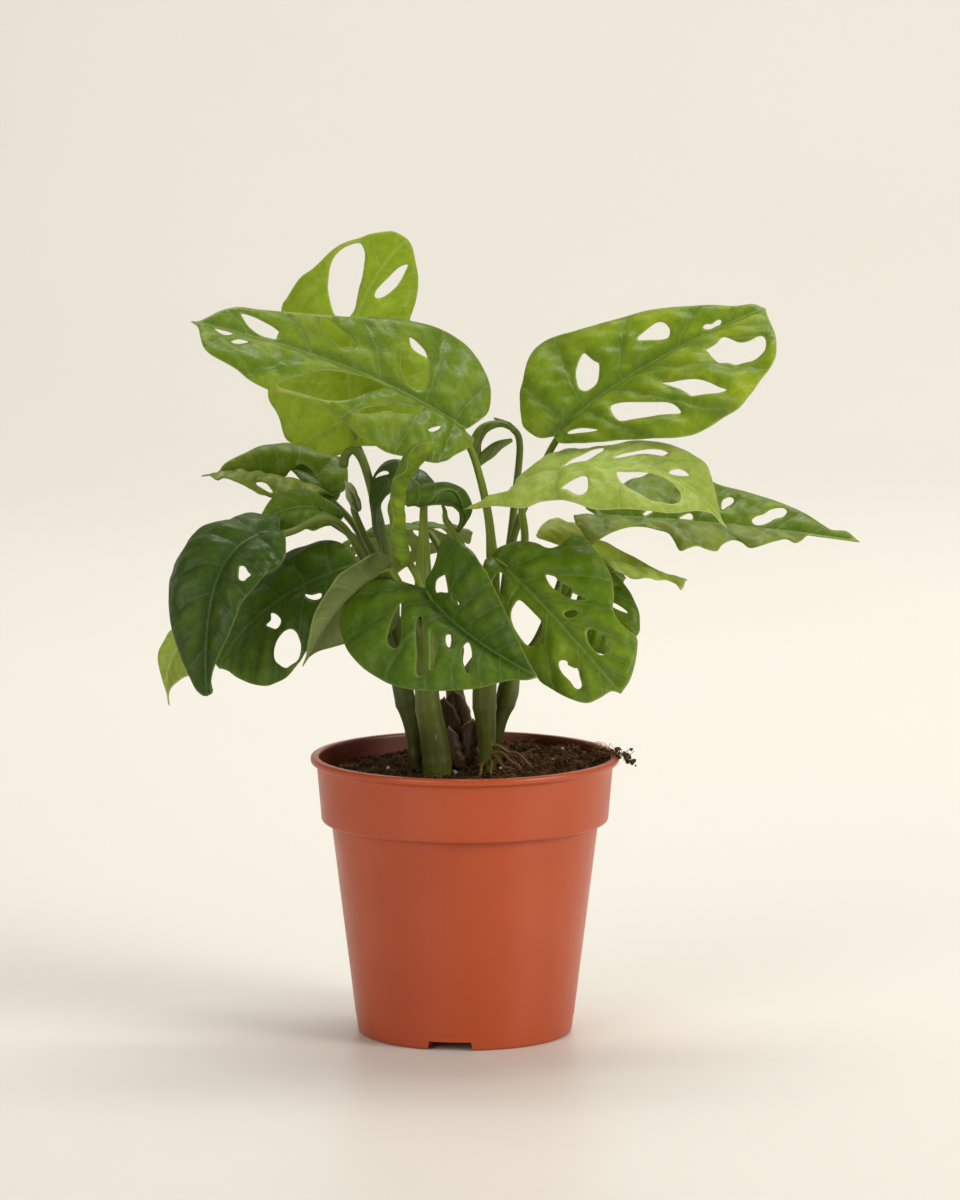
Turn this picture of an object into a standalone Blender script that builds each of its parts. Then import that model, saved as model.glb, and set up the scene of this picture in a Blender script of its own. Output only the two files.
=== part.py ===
# A Swiss cheese vine (Monstera adansonii) growing in a plastic nursery pot.
# The origin is the centre of the pot's underside, +Z is up, and the plant's front faces -Y.
# Sizes and places in this file are millimetres, and the meshes are written in metres.
import math

import bmesh
import bpy
import numpy as np
from mathutils import Matrix, Vector
from mathutils.geometry import delaunay_2d_cdt

MM = 0.001
GAP = 0.3

# Pot
RIM_RADIUS = 60.0
POT_HEIGHT = 108.9
FOOT_RADIUS = 41.7
SHOULDER_HEIGHT = 83.0
BODY_TOP_RADIUS = 52.0
BAND_LOW_RADIUS = 55.9
BAND_HIGH_RADIUS = 57.7
LIP_HEIGHT = 2.8
WALL = 1.1
FLOOR_WALL = 1.2
POT_SIDES = 48
DRAIN_COUNT = 3
DRAIN_FIRST_ANGLE = -98.0
DRAIN_HEIGHT = 3.5
DRAIN_INNER_RADIUS = 14.0
DRAIN_INNER_WIDTH = 9.0
DRAIN_MOUTH_WIDTH = 16.5
DRAIN_DRAFT = 0.3
DRAIN_HOLE_RADIUS = 3.5
DRAIN_HOLE_PLACE = 27.0

# Soil
SOIL_TOP = 100.5
SOIL_MOUND = 5.5
STEM_SINK = 24.0

# Blades
BLADE_THICKNESS = 0.75
PLAIN_SHAPE = (1.0, 0.26, 0.0)
EDGE_STEP = 7.0
HOLE_STEP = 5.5
FACE_STEP = 10.5

# Stalks
STALK_SIDES = 8
STALK_RADIUS = 2.0
STALK_TIP_RADIUS = 1.3
STALK_TIP_INSET = 1.2
ROOT_SIDES = 6
ROOT_RADIUS = 1.1

GREEN_DEEP = (0.028, 0.085, 0.018)
GREEN_MID = (0.07, 0.20, 0.025)
GREEN_BRIGHT = (0.22, 0.42, 0.05)
GREEN_YELLOW = (0.40, 0.46, 0.10)
STALK_PALE = (0.34, 0.40, 0.14)
STALK_DARK = (0.16, 0.17, 0.07)
TERRACOTTA = (0.36, 0.075, 0.030)
SOIL_BROWN = (0.030, 0.018, 0.011)
SHEATH_BROWN = (0.24, 0.13, 0.06)

# A blade is set by five places on it: base, middle and tip of the midrib, and its left and right
# edges at the widest place. bow lifts each half between midrib and edge, wave is the edge's swing,
# and hook bends the tip down. A hole is (share of length, share of half width, length, width, slant).
ROW_HOLES = [
    (0.10, 0.50, 13.0, 4.0, 78.0),
    (0.28, 0.50, 15.0, 4.5, 66.0),
    (0.46, 0.45, 12.0, 4.0, 58.0),
    (0.63, 0.32, 7.5, 3.0, 50.0),
]
SMALL_HOLES = [
    (0.20, 0.46, 9.0, 2.8, 68.0),
    (0.45, 0.42, 7.0, 2.4, 58.0),
]

LEAVES = [
    dict(name="leaf_top_left", base=(0, -4, 237), mid=(-44, -2, 260), tip=(-106, -14, 281),
         left=(-23, -27, 228), right=(-9, 22, 269), shape=((0.5, 0.2, 0.8), (0.3, 0.25, 0.2)),
         bow=(4, 2), wave=1.6, hook=2, color=GREEN_MID, holes=(
             [(0.12, 0.43, 8.0, 2.5, 26), (0.34, 0.60, 33.0, 4.0, 27), (0.40, 0.33, 15.0, 5.0, 28),
              (0.61, 0.48, 30.0, 11.0, 12), (0.73, 0.18, 12.0, 3.0, 24), (0.86, 0.24, 6.0, 2.4, 24)],
             [(0.30, 0.42, 24.0, 10.0, 53), (0.56, 0.38, 17.0, 7.0, 40), (0.80, 0.15, 13.0, 4.0, 18)])),
    dict(name="leaf_top_back", base=(-42, 32, 226), mid=(-49, 40, 273), tip=(-20, 46, 308),
         left=(-75, 46, 240), right=(-14, 50, 248), shape=((0.3, 0.25, 0.5), (0.6, 0.2, 0.7)),
         bow=(3, 3), wave=1.2, hook=2, color=GREEN_BRIGHT, holes=(
             [(0.68, 0.38, 28.0, 11.0, 15)],
             [(0.45, 0.55, 13.0, 3.5, 60), (0.79, 0.28, 19.0, 4.0, 4)])),
    dict(name="leaf_top_right", base=(35, 2, 234), mid=(67, 8, 258), tip=(116, 16, 283),
         left=(33, 30, 266), right=(79, -30, 236), shape=((0.7, 0.25, 0.2), (0.0, 0.35, 0.9)),
         bow=(2, 4), wave=1.4, hook=2, color=GREEN_MID, holes=(
             [(0.32, 0.35, 16.0, 9.5, 66), (0.62, 0.34, 12.0, 6.5, 150), (0.82, 0.10, 6.0, 2.6, 170)],
             [(0.09, 0.27, 13.0, 2.0, 56), (0.37, 0.54, 27.0, 9.5, 38), (0.59, 0.61, 24.0, 7.0, 53),
              (0.81, 0.45, 18.0, 12.0, 49)])),
    dict(name="leaf_right_pale", base=(20, -24, 217), mid=(65, -34, 227), tip=(100, -44, 207),
         left=(58, -6, 233), right=(32, -54, 213), shape=((1.0, 0.35, 0.3), (1.2, 0.2, 0.8)),
         bow=(1, 4), wave=1.2, hook=3, color=GREEN_YELLOW, holes=(
             [(0.27, 0.45, 15.0, 4.5, 62), (0.50, 0.40, 15.0, 4.0, 45), (0.70, 0.30, 9.0, 3.0, 35)],
             [(0.30, 0.60, 11.0, 4.5, 120), (0.62, 0.46, 22.0, 9.0, 12)])),
    dict(name="leaf_far_right", base=(52, 22, 200), mid=(100, 26, 196), tip=(157, 22, 190),
         left=(86, 48, 211), right=(77, 0, 190), shape=((1.1, 0.4, 0.1), (1.2, 0.2, 0.2)),
         bow=(2, 2), wave=2.2, hook=1, color=GREEN_DEEP, holes=(
             [(0.22, 0.28, 8.0, 2.8, 40), (0.37, 0.28, 8.0, 3.0, 60), (0.53, 0.44, 9.0, 4.5, 55),
              (0.68, 0.34, 12.0, 5.0, 12)],
             [(0.30, 0.50, 11.0, 3.0, 66), (0.52, 0.42, 8.0, 2.6, 58)])),
    dict(name="leaf_right_narrow", base=(40, 14, 188), mid=(66, 16, 180), tip=(88, 14, 176),
         left=(52, 26, 192), right=(51, 4, 184), shape=((1.2, 0.4, 0.8), (0.6, 0.2, 1.0)),
         bow=(1, 1), wave=0.8, hook=1, color=GREEN_YELLOW, holes=(SMALL_HOLES, [])),
    dict(name="leaf_front", base=(-15, -22, 177), mid=(0, -46, 164), tip=(27, -66, 150),
         left=(4, -34, 194), right=(-44, -34, 154), shape=((1.0, 0.25, 0.5), (1.2, 0.25, 0.4)),
         bow=(2, 4), wave=1.0, hook=1, color=GREEN_DEEP, holes=(
             [(0.14, 0.32, 14.0, 4.0, 8), (0.40, 0.30, 8.0, 3.0, 8)],
             [(0.22, 0.45, 23.0, 5.0, 40), (0.45, 0.42, 24.0, 4.5, 45), (0.63, 0.36, 15.0, 3.0, 42),
              (0.79, 0.24, 10.0, 2.4, 36)])),
    dict(name="leaf_front_right", base=(10, -10, 188), mid=(28, -22, 173), tip=(60, -40, 139),
         left=(44, -6, 197), right=(5, -20, 164), shape=((0.3, 0.2, 0.7), (0.6, 0.3, 0.9)),
         bow=(2, 3), wave=1.2, hook=1, color=GREEN_MID, holes=(
             [(0.48, 0.40, 16.0, 5.0, 24), (0.66, 0.24, 6.0, 2.8, 25), (0.80, 0.26, 8.0, 2.8, 160)],
             [(0.22, 0.38, 13.0, 2.8, 28), (0.54, 0.44, 16.0, 8.0, 30), (0.82, 0.42, 8.0, 4.5, 15)])),
    dict(name="leaf_right_behind", base=(42, 16, 183), mid=(54, 16, 163), tip=(63, 8, 144),
         left=(66, 20, 167), right=(39, 16, 157), shape=((0.4, 0.35, 0.0), (0.6, 0.3, 0.2)),
         bow=(2, 2), wave=0.8, hook=1, color=GREEN_DEEP, holes=(SMALL_HOLES, SMALL_HOLES)),
    dict(name="leaf_left_front", base=(-72, -10, 198), mid=(-94, -30, 183), tip=(-97, -34, 136),
         left=(-70, -30, 189), right=(-106, -10, 193), shape=((0.2, 0.2, 0.3), (1.1, 0.35, 0.4)),
         bow=(3, 5), wave=1.0, hook=-3, color=GREEN_DEEP, holes=(
             [(0.45, 0.45, 10.0, 4.0, 58), (0.72, 0.24, 6.0, 2.4, 20)], SMALL_HOLES)),
    dict(name="leaf_left_middle", base=(-42, 6, 183), mid=(-75, 4, 167), tip=(-96, 6, 143),
         left=(-68, -8, 144), right=(-62, 20, 189), shape=((0.2, 0.5, 0.8), (0.2, 0.25, 0.8)),
         bow=(3, 3), wave=1.0, hook=1, color=GREEN_DEEP, holes=(
             [(0.26, 0.22, 9.0, 3.5, 20), (0.50, 0.64, 14.0, 9.5, 4), (0.68, 0.30, 10.0, 3.0, 120)],
             SMALL_HOLES)),
    dict(name="leaf_left_low", base=(-93, 26, 159), mid=(-112, 20, 148), tip=(-116, 16, 128),
         left=(-102, 12, 142), right=(-114, 32, 153), shape=((0.6, 0.35, 0.2), (0.6, 0.45, -0.2)),
         bow=(2, 3), wave=0.8, hook=0, color=GREEN_YELLOW, holes=(SMALL_HOLES, [])),
    dict(name="leaf_centre_left", base=(-28, -10, 184), mid=(-47, -14, 171), tip=(-62, -18, 149),
         left=(-43, -20, 186), right=(-28, 0, 157), shape=((0.2, 0.3, 0.2), (0.4, 0.3, 0.2)),
         bow=(1, 2), wave=0.8, hook=1, color=GREEN_DEEP, holes=([], SMALL_HOLES)),
    dict(name="leaf_left_back", base=(-52, 50, 204), mid=(-77, 50, 212), tip=(-101, 42, 214),
         left=(-66, 32, 205), right=(-56, 66, 222), shape=((0.6, 0.35, 0.2), (0.8, 0.35, 0.6)),
         bow=(3, 4), wave=1.0, hook=1, color=GREEN_DEEP, holes=(
             [(0.33, 0.50, 15.0, 5.5, 75), (0.66, 0.50, 8.0, 3.5, 60)], SMALL_HOLES)),
    dict(name="leaf_left_small", base=(-50, 22, 198), mid=(-67, 20, 203), tip=(-87, 20, 191),
         left=(-60, 10, 196), right=(-67, 30, 209), shape=((0.6, 0.3, 0.7), (0.8, 0.4, -0.3)),
         bow=(2, 2), wave=0.6, hook=1, color=GREEN_MID, holes=(SMALL_HOLES, [])),
    dict(name="leaf_centre_upright", base=(-22, -18, 191), mid=(-27, -27, 210), tip=(-12, -44, 237),
         left=(-30, -36, 203), right=(-22, -12, 203), shape=((0.6, 0.3, 0.2), (0.6, 0.3, 0.2)),
         bow=(2, 2), wave=1.4, hook=1, color=GREEN_YELLOW, holes=(SMALL_HOLES, SMALL_HOLES)),
    dict(name="leaf_centre_curled", base=(-5, 4, 200), mid=(-14, 0, 209), tip=(-22, -8, 198),
         left=(-10, -10, 204), right=(-10, 14, 212), shape=((0.6, 0.3, 0.4), (0.6, 0.3, 0.4)),
         bow=(2, 2), wave=0.6, hook=2, color=GREEN_DEEP, holes=([], [])),
    dict(name="leaf_top_curl", base=(20, 28, 235), mid=(10, 28, 233), tip=(5, 22, 220),
         left=(12, 14, 230), right=(8, 38, 234), shape=((0.6, 0.3, 0.2), (0.6, 0.3, 0.2)),
         bow=(1, 1), wave=0.4, hook=1, color=GREEN_DEEP, holes=([], [])),
    dict(name="leaf_centre_back", base=(-14, 20, 209), mid=(-30, 22, 213), tip=(-34, 18, 187),
         left=(-25, 8, 208), right=(-28, 34, 220), shape=((0.6, 0.3, 0.4), (0.6, 0.3, 0.4)),
         bow=(2, 2), wave=0.6, hook=1, color=GREEN_DEEP, holes=([], SMALL_HOLES)),
    dict(name="leaf_rolled", base=(-42, 30, 200), mid=(-44, 30, 206), tip=(-47, 30, 212),
         left=(-46, 28, 205), right=(-42, 32, 207), shape=((0.2, 0.5, 0.6), (0.2, 0.5, 0.6)),
         bow=(1, 1), wave=0.2, hook=0, color=STALK_PALE, holes=([], [])),
    dict(name="leaf_rear_left", base=(-16, 62, 190), mid=(-30, 84, 184), tip=(-38, 98, 158),
         left=(-48, 66, 182), right=(0, 88, 180), shape=((1.0, 0.26, 0.2), (1.0, 0.26, 0.2)),
         bow=(3, 3), wave=1.2, hook=2, color=GREEN_MID, holes=(ROW_HOLES, ROW_HOLES)),
    dict(name="leaf_rear_right", base=(30, 56, 176), mid=(44, 78, 174), tip=(54, 98, 150),
         left=(18, 74, 172), right=(60, 62, 172), shape=((1.0, 0.26, 0.2), (1.0, 0.26, 0.2)),
         bow=(3, 3), wave=1.2, hook=2, color=GREEN_MID, holes=(ROW_HOLES, ROW_HOLES)),
    dict(name="dry_sheath_left", base=(-5, 1, 102.6), mid=(-7, 0, 114), tip=(-8, 1, 126),
         left=(-10, 2, 112), right=(-3, 3, 112), shape=((0.0, 0.3, 0.6), (0.0, 0.3, 0.8)),
         bow=(1, 1), wave=0.5, hook=0, color=SHEATH_BROWN, holes=([], [])),
    dict(name="dry_sheath_right", base=(0, 2, 103.4), mid=(1, 2, 110), tip=(0, 4, 119),
         left=(-2, 4, 109), right=(3, 4, 109), shape=((0.0, 0.3, 0.6), (0.0, 0.3, 0.6)),
         bow=(1, 1), wave=0.4, hook=0, color=SHEATH_BROWN, holes=([], [])),
]

# A shoot is one grown piece: a cane with its leaf stalks. Each stalk starts inside the cane at the
# cane's point of that number, runs through its own points and ends under its blade's base.
SHOOTS = [
    dict(name="shoot_left", color=STALK_PALE, radii=(5.4, 5.0, 4.6, 4.2, 3.9, 3.0),
         cane=[(-12, -6, 0), (-12, -6, 109), (-14, -6, 131), (-15, -4, 154), (-16, 0, 180), (-16, 5, 200)],
         stalks=[
             ("leaf_front", 3, [(-15, -10, 162), (-15, -17, 171)]),
             ("leaf_centre_upright", 3, [(-17, -9, 167), (-18, -15, 180)]),
             ("leaf_centre_left", 3, [(-19, -10, 166), (-24, -15, 176)]),
             ("leaf_centre_back", 5, [(-15, 10, 204)]),
         ]),
    dict(name="shoot_back_left", color=STALK_DARK, radii=(4.4, 4.2, 4.0, 3.2),
         cane=[(-24, 9, 0), (-24, 10, 115), (-25, 12, 132), (-28, 18, 160)],
         stalks=[
             ("leaf_left_front", 2, [(-32, 17, 165), (-44, 14, 192), (-54, 4, 201), (-66, -3, 197)]),
             ("leaf_left_middle", 2, [(-31, 10, 158), (-39, 8, 177)]),
             ("leaf_left_low", 2, [(-38, 24, 150), (-59, 34, 161), (-82, 37, 163)]),
             ("leaf_left_back", 3, [(-34, 32, 175), (-43, 46, 192)]),
             ("leaf_left_small", 3, [(-34, 23, 176), (-43, 25, 190)]),
             ("leaf_rolled", 3, [(-33, 27, 178), (-40, 31, 192)]),
             ("leaf_top_back", 3, [(-31, 30, 186), (-38, 40, 214)]),
         ]),
    dict(name="shoot_right", color=STALK_PALE, radii=(5.0, 4.8, 4.4, 3.6, 2.6),
         cane=[(9, -4, 0), (8, -4, 115), (9, -3, 135), (10, 0, 158), (11, 2, 183)],
         stalks=[
             ("leaf_top_left", 4, [(9, 2, 203), (4, 0, 224)]),
             ("leaf_front_right", 3, [(10, -2, 172), (9, -6, 181)]),
             ("leaf_centre_curled", 3, [(4, 3, 175), (-2, 5, 192)]),
             ("leaf_right_pale", 3, [(16, 3, 168), (23, 2, 190), (22, -8, 206)]),
         ],
         roots=[[(10, -6, 113), (15, -9, 112), (19, -11, 110)], [(9, -7, 111), (10, -12, 109), (9, -16, 108)]]),
    dict(name="shoot_back_right", color=STALK_DARK, radii=(3.8, 3.6, 3.4, 2.8),
         cane=[(15, 9, 0), (15, 9, 116), (18, 10, 130), (23, 13, 148)],
         stalks=[
             ("leaf_top_right", 3, [(26, 14, 172), (28, 16, 205), (32, 10, 226)]),
             ("leaf_far_right", 3, [(32, 24, 163), (45, 36, 185)]),
             ("leaf_right_narrow", 3, [(30, 10, 162), (36, 6, 178)]),
             ("leaf_right_behind", 3, [(30, 18, 160), (37, 25, 176)]),
             ("leaf_top_curl", 3, [(19, 20, 170), (21, 28, 200), (22, 31, 226)]),
         ]),
    dict(name="shoot_rear", color=STALK_DARK, radii=(3.6, 3.4, 3.2, 2.4),
         cane=[(2, 20, 0), (2, 20, 115), (0, 24, 131), (-2, 32, 150)],
         stalks=[
             ("leaf_rear_left", 3, [(-6, 44, 172), (-12, 56, 186)]),
             ("leaf_rear_right", 2, [(10, 36, 150), (24, 50, 170)]),
         ]),
]


def unit(vector):
    return vector / np.linalg.norm(vector, axis=-1, keepdims=True)


def triple(value):
    return np.array(value, dtype=float)


def midrib_point(leaf, x):
    base, mid, tip = triple(leaf["base"]), triple(leaf["mid"]), triple(leaf["tip"])
    s = np.clip(x, 0.0, 1.0)[..., None]
    return base * (1 - s) * (1 - 2 * s) + mid * 4 * s * (1 - s) + tip * s * (2 * s - 1)


def midrib_run(leaf, x):
    base, mid, tip = triple(leaf["base"]), triple(leaf["mid"]), triple(leaf["tip"])
    s = np.clip(x, 0.0, 1.0)[..., None]
    return base * (4 * s - 3) + mid * (4 - 8 * s) + tip * (4 * s - 1)


def blade_axes(leaf, x):
    # Along the midrib, to the blade's own left, and out of its upper side.
    along = unit(midrib_run(leaf, x))
    across = triple(leaf["left"]) - triple(leaf["right"])
    side = unit(across - (along * across).sum(-1, keepdims=True) * along)
    return along, side, np.cross(along, side)


def blade_length(leaf):
    path = midrib_point(leaf, np.linspace(0.0, 1.0, 41))
    return float(np.linalg.norm(np.diff(path, axis=0), axis=1).sum())


def half_shape(leaf, edge):
    # How far the lobe reaches back, where the half is widest, and how full it stays to the tip.
    return leaf.get("shape", (PLAIN_SHAPE, PLAIN_SHAPE))[edge == "right"]


def half_reach(leaf, edge):
    # The way from midrib to edge at the widest place, as parts along, aside and up.
    place = np.array([half_shape(leaf, edge)[1]])
    reach = triple(leaf[edge]) - midrib_point(leaf, place)[0]
    return [float(reach @ axis[0]) for axis in blade_axes(leaf, place)]


def blade_point(leaf, x, v):
    # x is the share of the length from the base, v the share of the half width, left positive.
    x, v = np.asarray(x, float), np.asarray(v, float)
    along, side, up = blade_axes(leaf, x)
    left, right = half_reach(leaf, "left"), half_reach(leaf, "right")
    is_left = (v >= 0)[..., None]
    a, b, c = (np.where(is_left, p, q) for p, q in zip(left, right))
    reach = a * along + b * side + c * up
    face_up = unit(np.cross(along, reach)) * np.where(is_left, 1.0, -1.0)
    bow = np.where(v >= 0, leaf["bow"][0], leaf["bow"][1])
    share = np.abs(v)
    turn = 2 * math.pi * leaf.get("waves", 3) * x + np.where(v >= 0, 0.0, 1.9)
    lift = 4 * bow * share * (1 - share) + leaf["wave"] * share ** 2 * np.sin(turn)
    point = midrib_point(leaf, x) + np.minimum(x, 0.0)[..., None] * blade_length(leaf) * along
    point = point + share[..., None] * reach + lift[..., None] * face_up
    return point - (leaf["hook"] * np.clip(x, 0, 1) ** 4)[..., None] * up


def bezier(p, t):
    a, b, c, d = (np.array(q, float) for q in p)
    t = t[:, None]
    return a * (1 - t) ** 3 + 3 * b * t * (1 - t) ** 2 + 3 * c * t ** 2 * (1 - t) + d * t ** 3


def half_outline(shape, count):
    # From the stalk's notch round the heart-shaped lobe to the widest place, then on to the tip.
    lobe, wide, full = shape
    round_lobe = bezier([(0, 0), (-0.17 * lobe, 0.20), (0.3 * wide - 0.21 * lobe, 1.0), (wide, 1.0)],
                        np.linspace(0.0, 1.0, count))
    shoulder = wide + (1 - wide) * (0.45 + 0.45 * full)
    to_tip = bezier([(wide, 1.0), (shoulder, 1.0), (0.76 + 0.24 * full, 0.22 + 0.45 * full), (1.0, 0.0)],
                    np.linspace(0.0, 1.0, count + 2))
    return np.vstack([round_lobe, to_tip[1:]])


def leaf_plan(leaf):
    # Flat plan of the blade: its edge, its holes, its midrib, and the points between.
    length = blade_length(leaf)
    widths = [float(np.linalg.norm(half_reach(leaf, edge))) for edge in ("left", "right")]
    count = max(5, int(round(0.62 * length / EDGE_STEP)))
    left = half_outline(half_shape(leaf, "left"), count) * (length, widths[0])
    right = (half_outline(half_shape(leaf, "right"), count) * (length, -widths[1]))[::-1]
    edge = np.vstack([left, right[1:-1]])
    holes = []
    for sign, width, rows in zip((1, -1), widths, leaf["holes"]):
        for x, v, long_way, short_way, slant in rows:
            steps = max(6, int(round(math.pi * (long_way + short_way) / 2 / HOLE_STEP)))
            angle = np.linspace(0.0, 2 * math.pi, steps, endpoint=False)
            slope = math.radians(slant)
            u, w = np.cos(angle) * long_way / 2, np.sin(angle) * short_way / 2
            px = x * length + u * math.cos(slope) - w * math.sin(slope)
            py = sign * (v * width + u * math.sin(slope) + w * math.cos(slope))
            holes.append(np.stack([px, py], 1))
    return length, widths, edge, holes


def inside(points, loop):
    # Even-odd test of points against a closed loop.
    x, y = points[:, 0][:, None], points[:, 1][:, None]
    x0, y0 = loop[:, 0], loop[:, 1]
    x1, y1 = np.roll(x0, -1), np.roll(y0, -1)
    crosses = (y0 > y) != (y1 > y)
    slope = np.where(y1 == y0, 1.0, y1 - y0)
    return (crosses & (x < (x1 - x0) * (y - y0) / slope + x0)).sum(1) % 2 == 1


def away_from(points, loop, room):
    ends = np.roll(loop, -1, axis=0)
    run = ends - loop
    share = ((points[:, None] - loop) * run).sum(-1) / (run ** 2).sum(-1)
    near = loop + np.clip(share, 0, 1)[..., None] * run
    return np.linalg.norm(points[:, None] - near, axis=-1).min(1) > room


def plan_triangles(leaf):
    length, widths, edge, holes = leaf_plan(leaf)
    step = min(FACE_STEP, length / 6)
    midrib = np.stack([np.linspace(0, length, max(5, int(length / step)) + 1)[1:-1]] * 2, 1) * (1, 0)
    rows = np.arange(-widths[1], widths[0], step * 0.86)
    grid = [(x + (i % 2) * step / 2, y) for i, y in enumerate(rows)
            for x in np.arange(-0.15 * length, length, step)]
    grid = np.array(grid)
    keep = inside(grid, edge) & away_from(grid, edge, 0.42 * step)
    keep &= np.abs(grid[:, 1]) > 0.42 * step
    for hole in holes:
        keep &= ~inside(grid, hole) & away_from(grid, hole, 0.35 * step)
    loops = [edge] + holes
    points = np.vstack(loops + [midrib, grid[keep]])
    borders = []
    start = 0
    for loop in loops:
        borders += [(start + i, start + (i + 1) % len(loop)) for i in range(len(loop))]
        start += len(loop)
    tip_index = int(np.argmax(edge[:, 0]))
    spine = [0] + list(range(start, start + len(midrib))) + [tip_index]
    lines = borders + list(zip(spine[:-1], spine[1:]))
    flat, _, faces, *_ = delaunay_2d_cdt([Vector(p) for p in points], lines, [], 0, 1e-5)
    flat = np.array([tuple(p) for p in flat])
    faces = np.array([tuple(f) for f in faces])
    middles = flat[faces].mean(1)
    kept = inside(middles, edge)
    for hole in holes:
        kept &= ~inside(middles, hole)
    used, faces = np.unique(faces[kept], return_inverse=True)
    return flat[used], faces.reshape(-1, 3), length, widths


def add_object(name, points, faces, color, roughness=0.5):
    mesh = bpy.data.meshes.new(name)
    mesh.from_pydata([tuple(p * MM for p in point) for point in points], [], [list(f) for f in faces])
    shaped = bmesh.new()
    shaped.from_mesh(mesh)
    bmesh.ops.recalc_face_normals(shaped, faces=shaped.faces)
    shaped.to_mesh(mesh)
    shaped.free()
    mesh.shade_smooth()
    mesh.set_sharp_from_angle(angle=math.radians(40))
    material = bpy.data.materials.new(name)
    material.use_nodes = True
    surface = material.node_tree.nodes["Principled BSDF"]
    surface.inputs["Base Color"].default_value = (*color, 1.0)
    surface.inputs["Roughness"].default_value = roughness
    surface.inputs["Metallic"].default_value = 0.0
    mesh.materials.append(material)
    piece = bpy.data.objects.new(name, mesh)
    bpy.context.scene.collection.objects.link(piece)
    return piece


def make_leaf(leaf):
    flat, faces, length, widths = plan_triangles(leaf)
    width = np.where(flat[:, 1] >= 0, widths[0], widths[1])
    middle = blade_point(leaf, flat[:, 0] / length, flat[:, 1] / width)
    corners = middle[faces]
    normals = np.cross(corners[:, 1] - corners[:, 0], corners[:, 2] - corners[:, 0])
    out = np.zeros_like(middle)
    for corner in range(3):
        np.add.at(out, faces[:, corner], normals)
    out = unit(out) * BLADE_THICKNESS / 2
    count = len(middle)
    points = np.vstack([middle + out, middle - out])
    sides = {}
    for face in faces:
        for a, b in zip(face, np.roll(face, -1)):
            sides[(a, b)] = True
    rim = [(a, b) for a, b in sides if (b, a) not in sides]
    solid = [tuple(f) for f in faces] + [tuple(f[::-1] + count) for f in faces]
    solid += [(b, a, a + count) for a, b in rim] + [(b, a + count, b + count) for a, b in rim]
    return add_object(leaf["name"], points, solid, leaf["color"], 0.35)


def smooth_path(points, step):
    # A smooth curve through the given points, cut into nearly equal steps.
    p = np.array(points, float)
    p = np.vstack([2 * p[0] - p[1], p, 2 * p[-1] - p[-2]])
    out = []
    for a, b, c, d in zip(p[:-3], p[1:-2], p[2:-1], p[3:]):
        count = max(1, int(round(np.linalg.norm(c - b) / step)))
        t = np.linspace(0.0, 1.0, count, endpoint=False)[:, None]
        out.append(0.5 * (2 * b + (c - a) * t + (2 * a - 5 * b + 4 * c - d) * t ** 2
                          + (3 * b - 3 * c + d - a) * t ** 3))
    return np.vstack(out + [p[-2][None]])


def tube(path, radii, sides):
    # A round tube along a path, with domed ends.
    path, radii = np.array(path, float), np.array(radii, float)
    run = unit(np.gradient(path, axis=0))
    first = [path[0] - run[0] * radii[0] * 0.45]
    last = [path[-1] + run[-1] * radii[-1] * 0.45]
    path = np.vstack([first, path, last])
    run = np.vstack([run[:1], run, run[-1:]])
    radii = np.concatenate([[radii[0] * 0.6], radii, [radii[-1] * 0.6]])
    side = unit(np.cross(run[0], (0.3, 1.0, 0.1)))
    points = []
    for centre, ahead, radius in zip(path, run, radii):
        side = unit(side - (side @ ahead) * ahead)
        other = np.cross(ahead, side)
        angle = 2 * math.pi * np.arange(sides) / sides
        points.append(centre + radius * (np.cos(angle)[:, None] * side + np.sin(angle)[:, None] * other))
    count = len(path)
    points = np.vstack(points)
    faces = [tuple(range(sides))[::-1], tuple(range((count - 1) * sides, count * sides))]
    for ring in range(count - 1):
        for i in range(sides):
            j = (i + 1) % sides
            a, b = ring * sides, (ring + 1) * sides
            faces.append((a + i, a + j, b + j, b + i))
    return points, faces


def apply_modifiers(piece):
    graph = bpy.context.evaluated_depsgraph_get()
    mesh = bpy.data.meshes.new_from_object(piece.evaluated_get(graph))
    piece.modifiers.clear()
    piece.data = mesh


def fuse(piece, others, operation="UNION"):
    # One Boolean with a collection of helpers, which is applied, and the helpers go.
    helpers = bpy.data.collections.new(piece.name + "_helpers")
    bpy.context.scene.collection.children.link(helpers)
    for other in others:
        bpy.context.scene.collection.objects.unlink(other)
        helpers.objects.link(other)
        other.hide_render = True
        other.display_type = "WIRE"
    boolean = piece.modifiers.new("fuse", "BOOLEAN")
    boolean.operation = operation
    boolean.solver = "EXACT"
    boolean.operand_type = "COLLECTION"
    boolean.collection = helpers
    apply_modifiers(piece)
    for other in others:
        bpy.data.objects.remove(other)
    bpy.data.collections.remove(helpers)
    return piece


def stalk_end(leaf):
    # Just under the blade at its base, clear of its face.
    base = np.array([0.0])
    along, _, up = blade_axes(leaf, base)
    drop = BLADE_THICKNESS / 2 + STALK_TIP_RADIUS + GAP
    return triple(leaf["base"]) + along[0] * STALK_TIP_INSET - up[0] * drop


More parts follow.
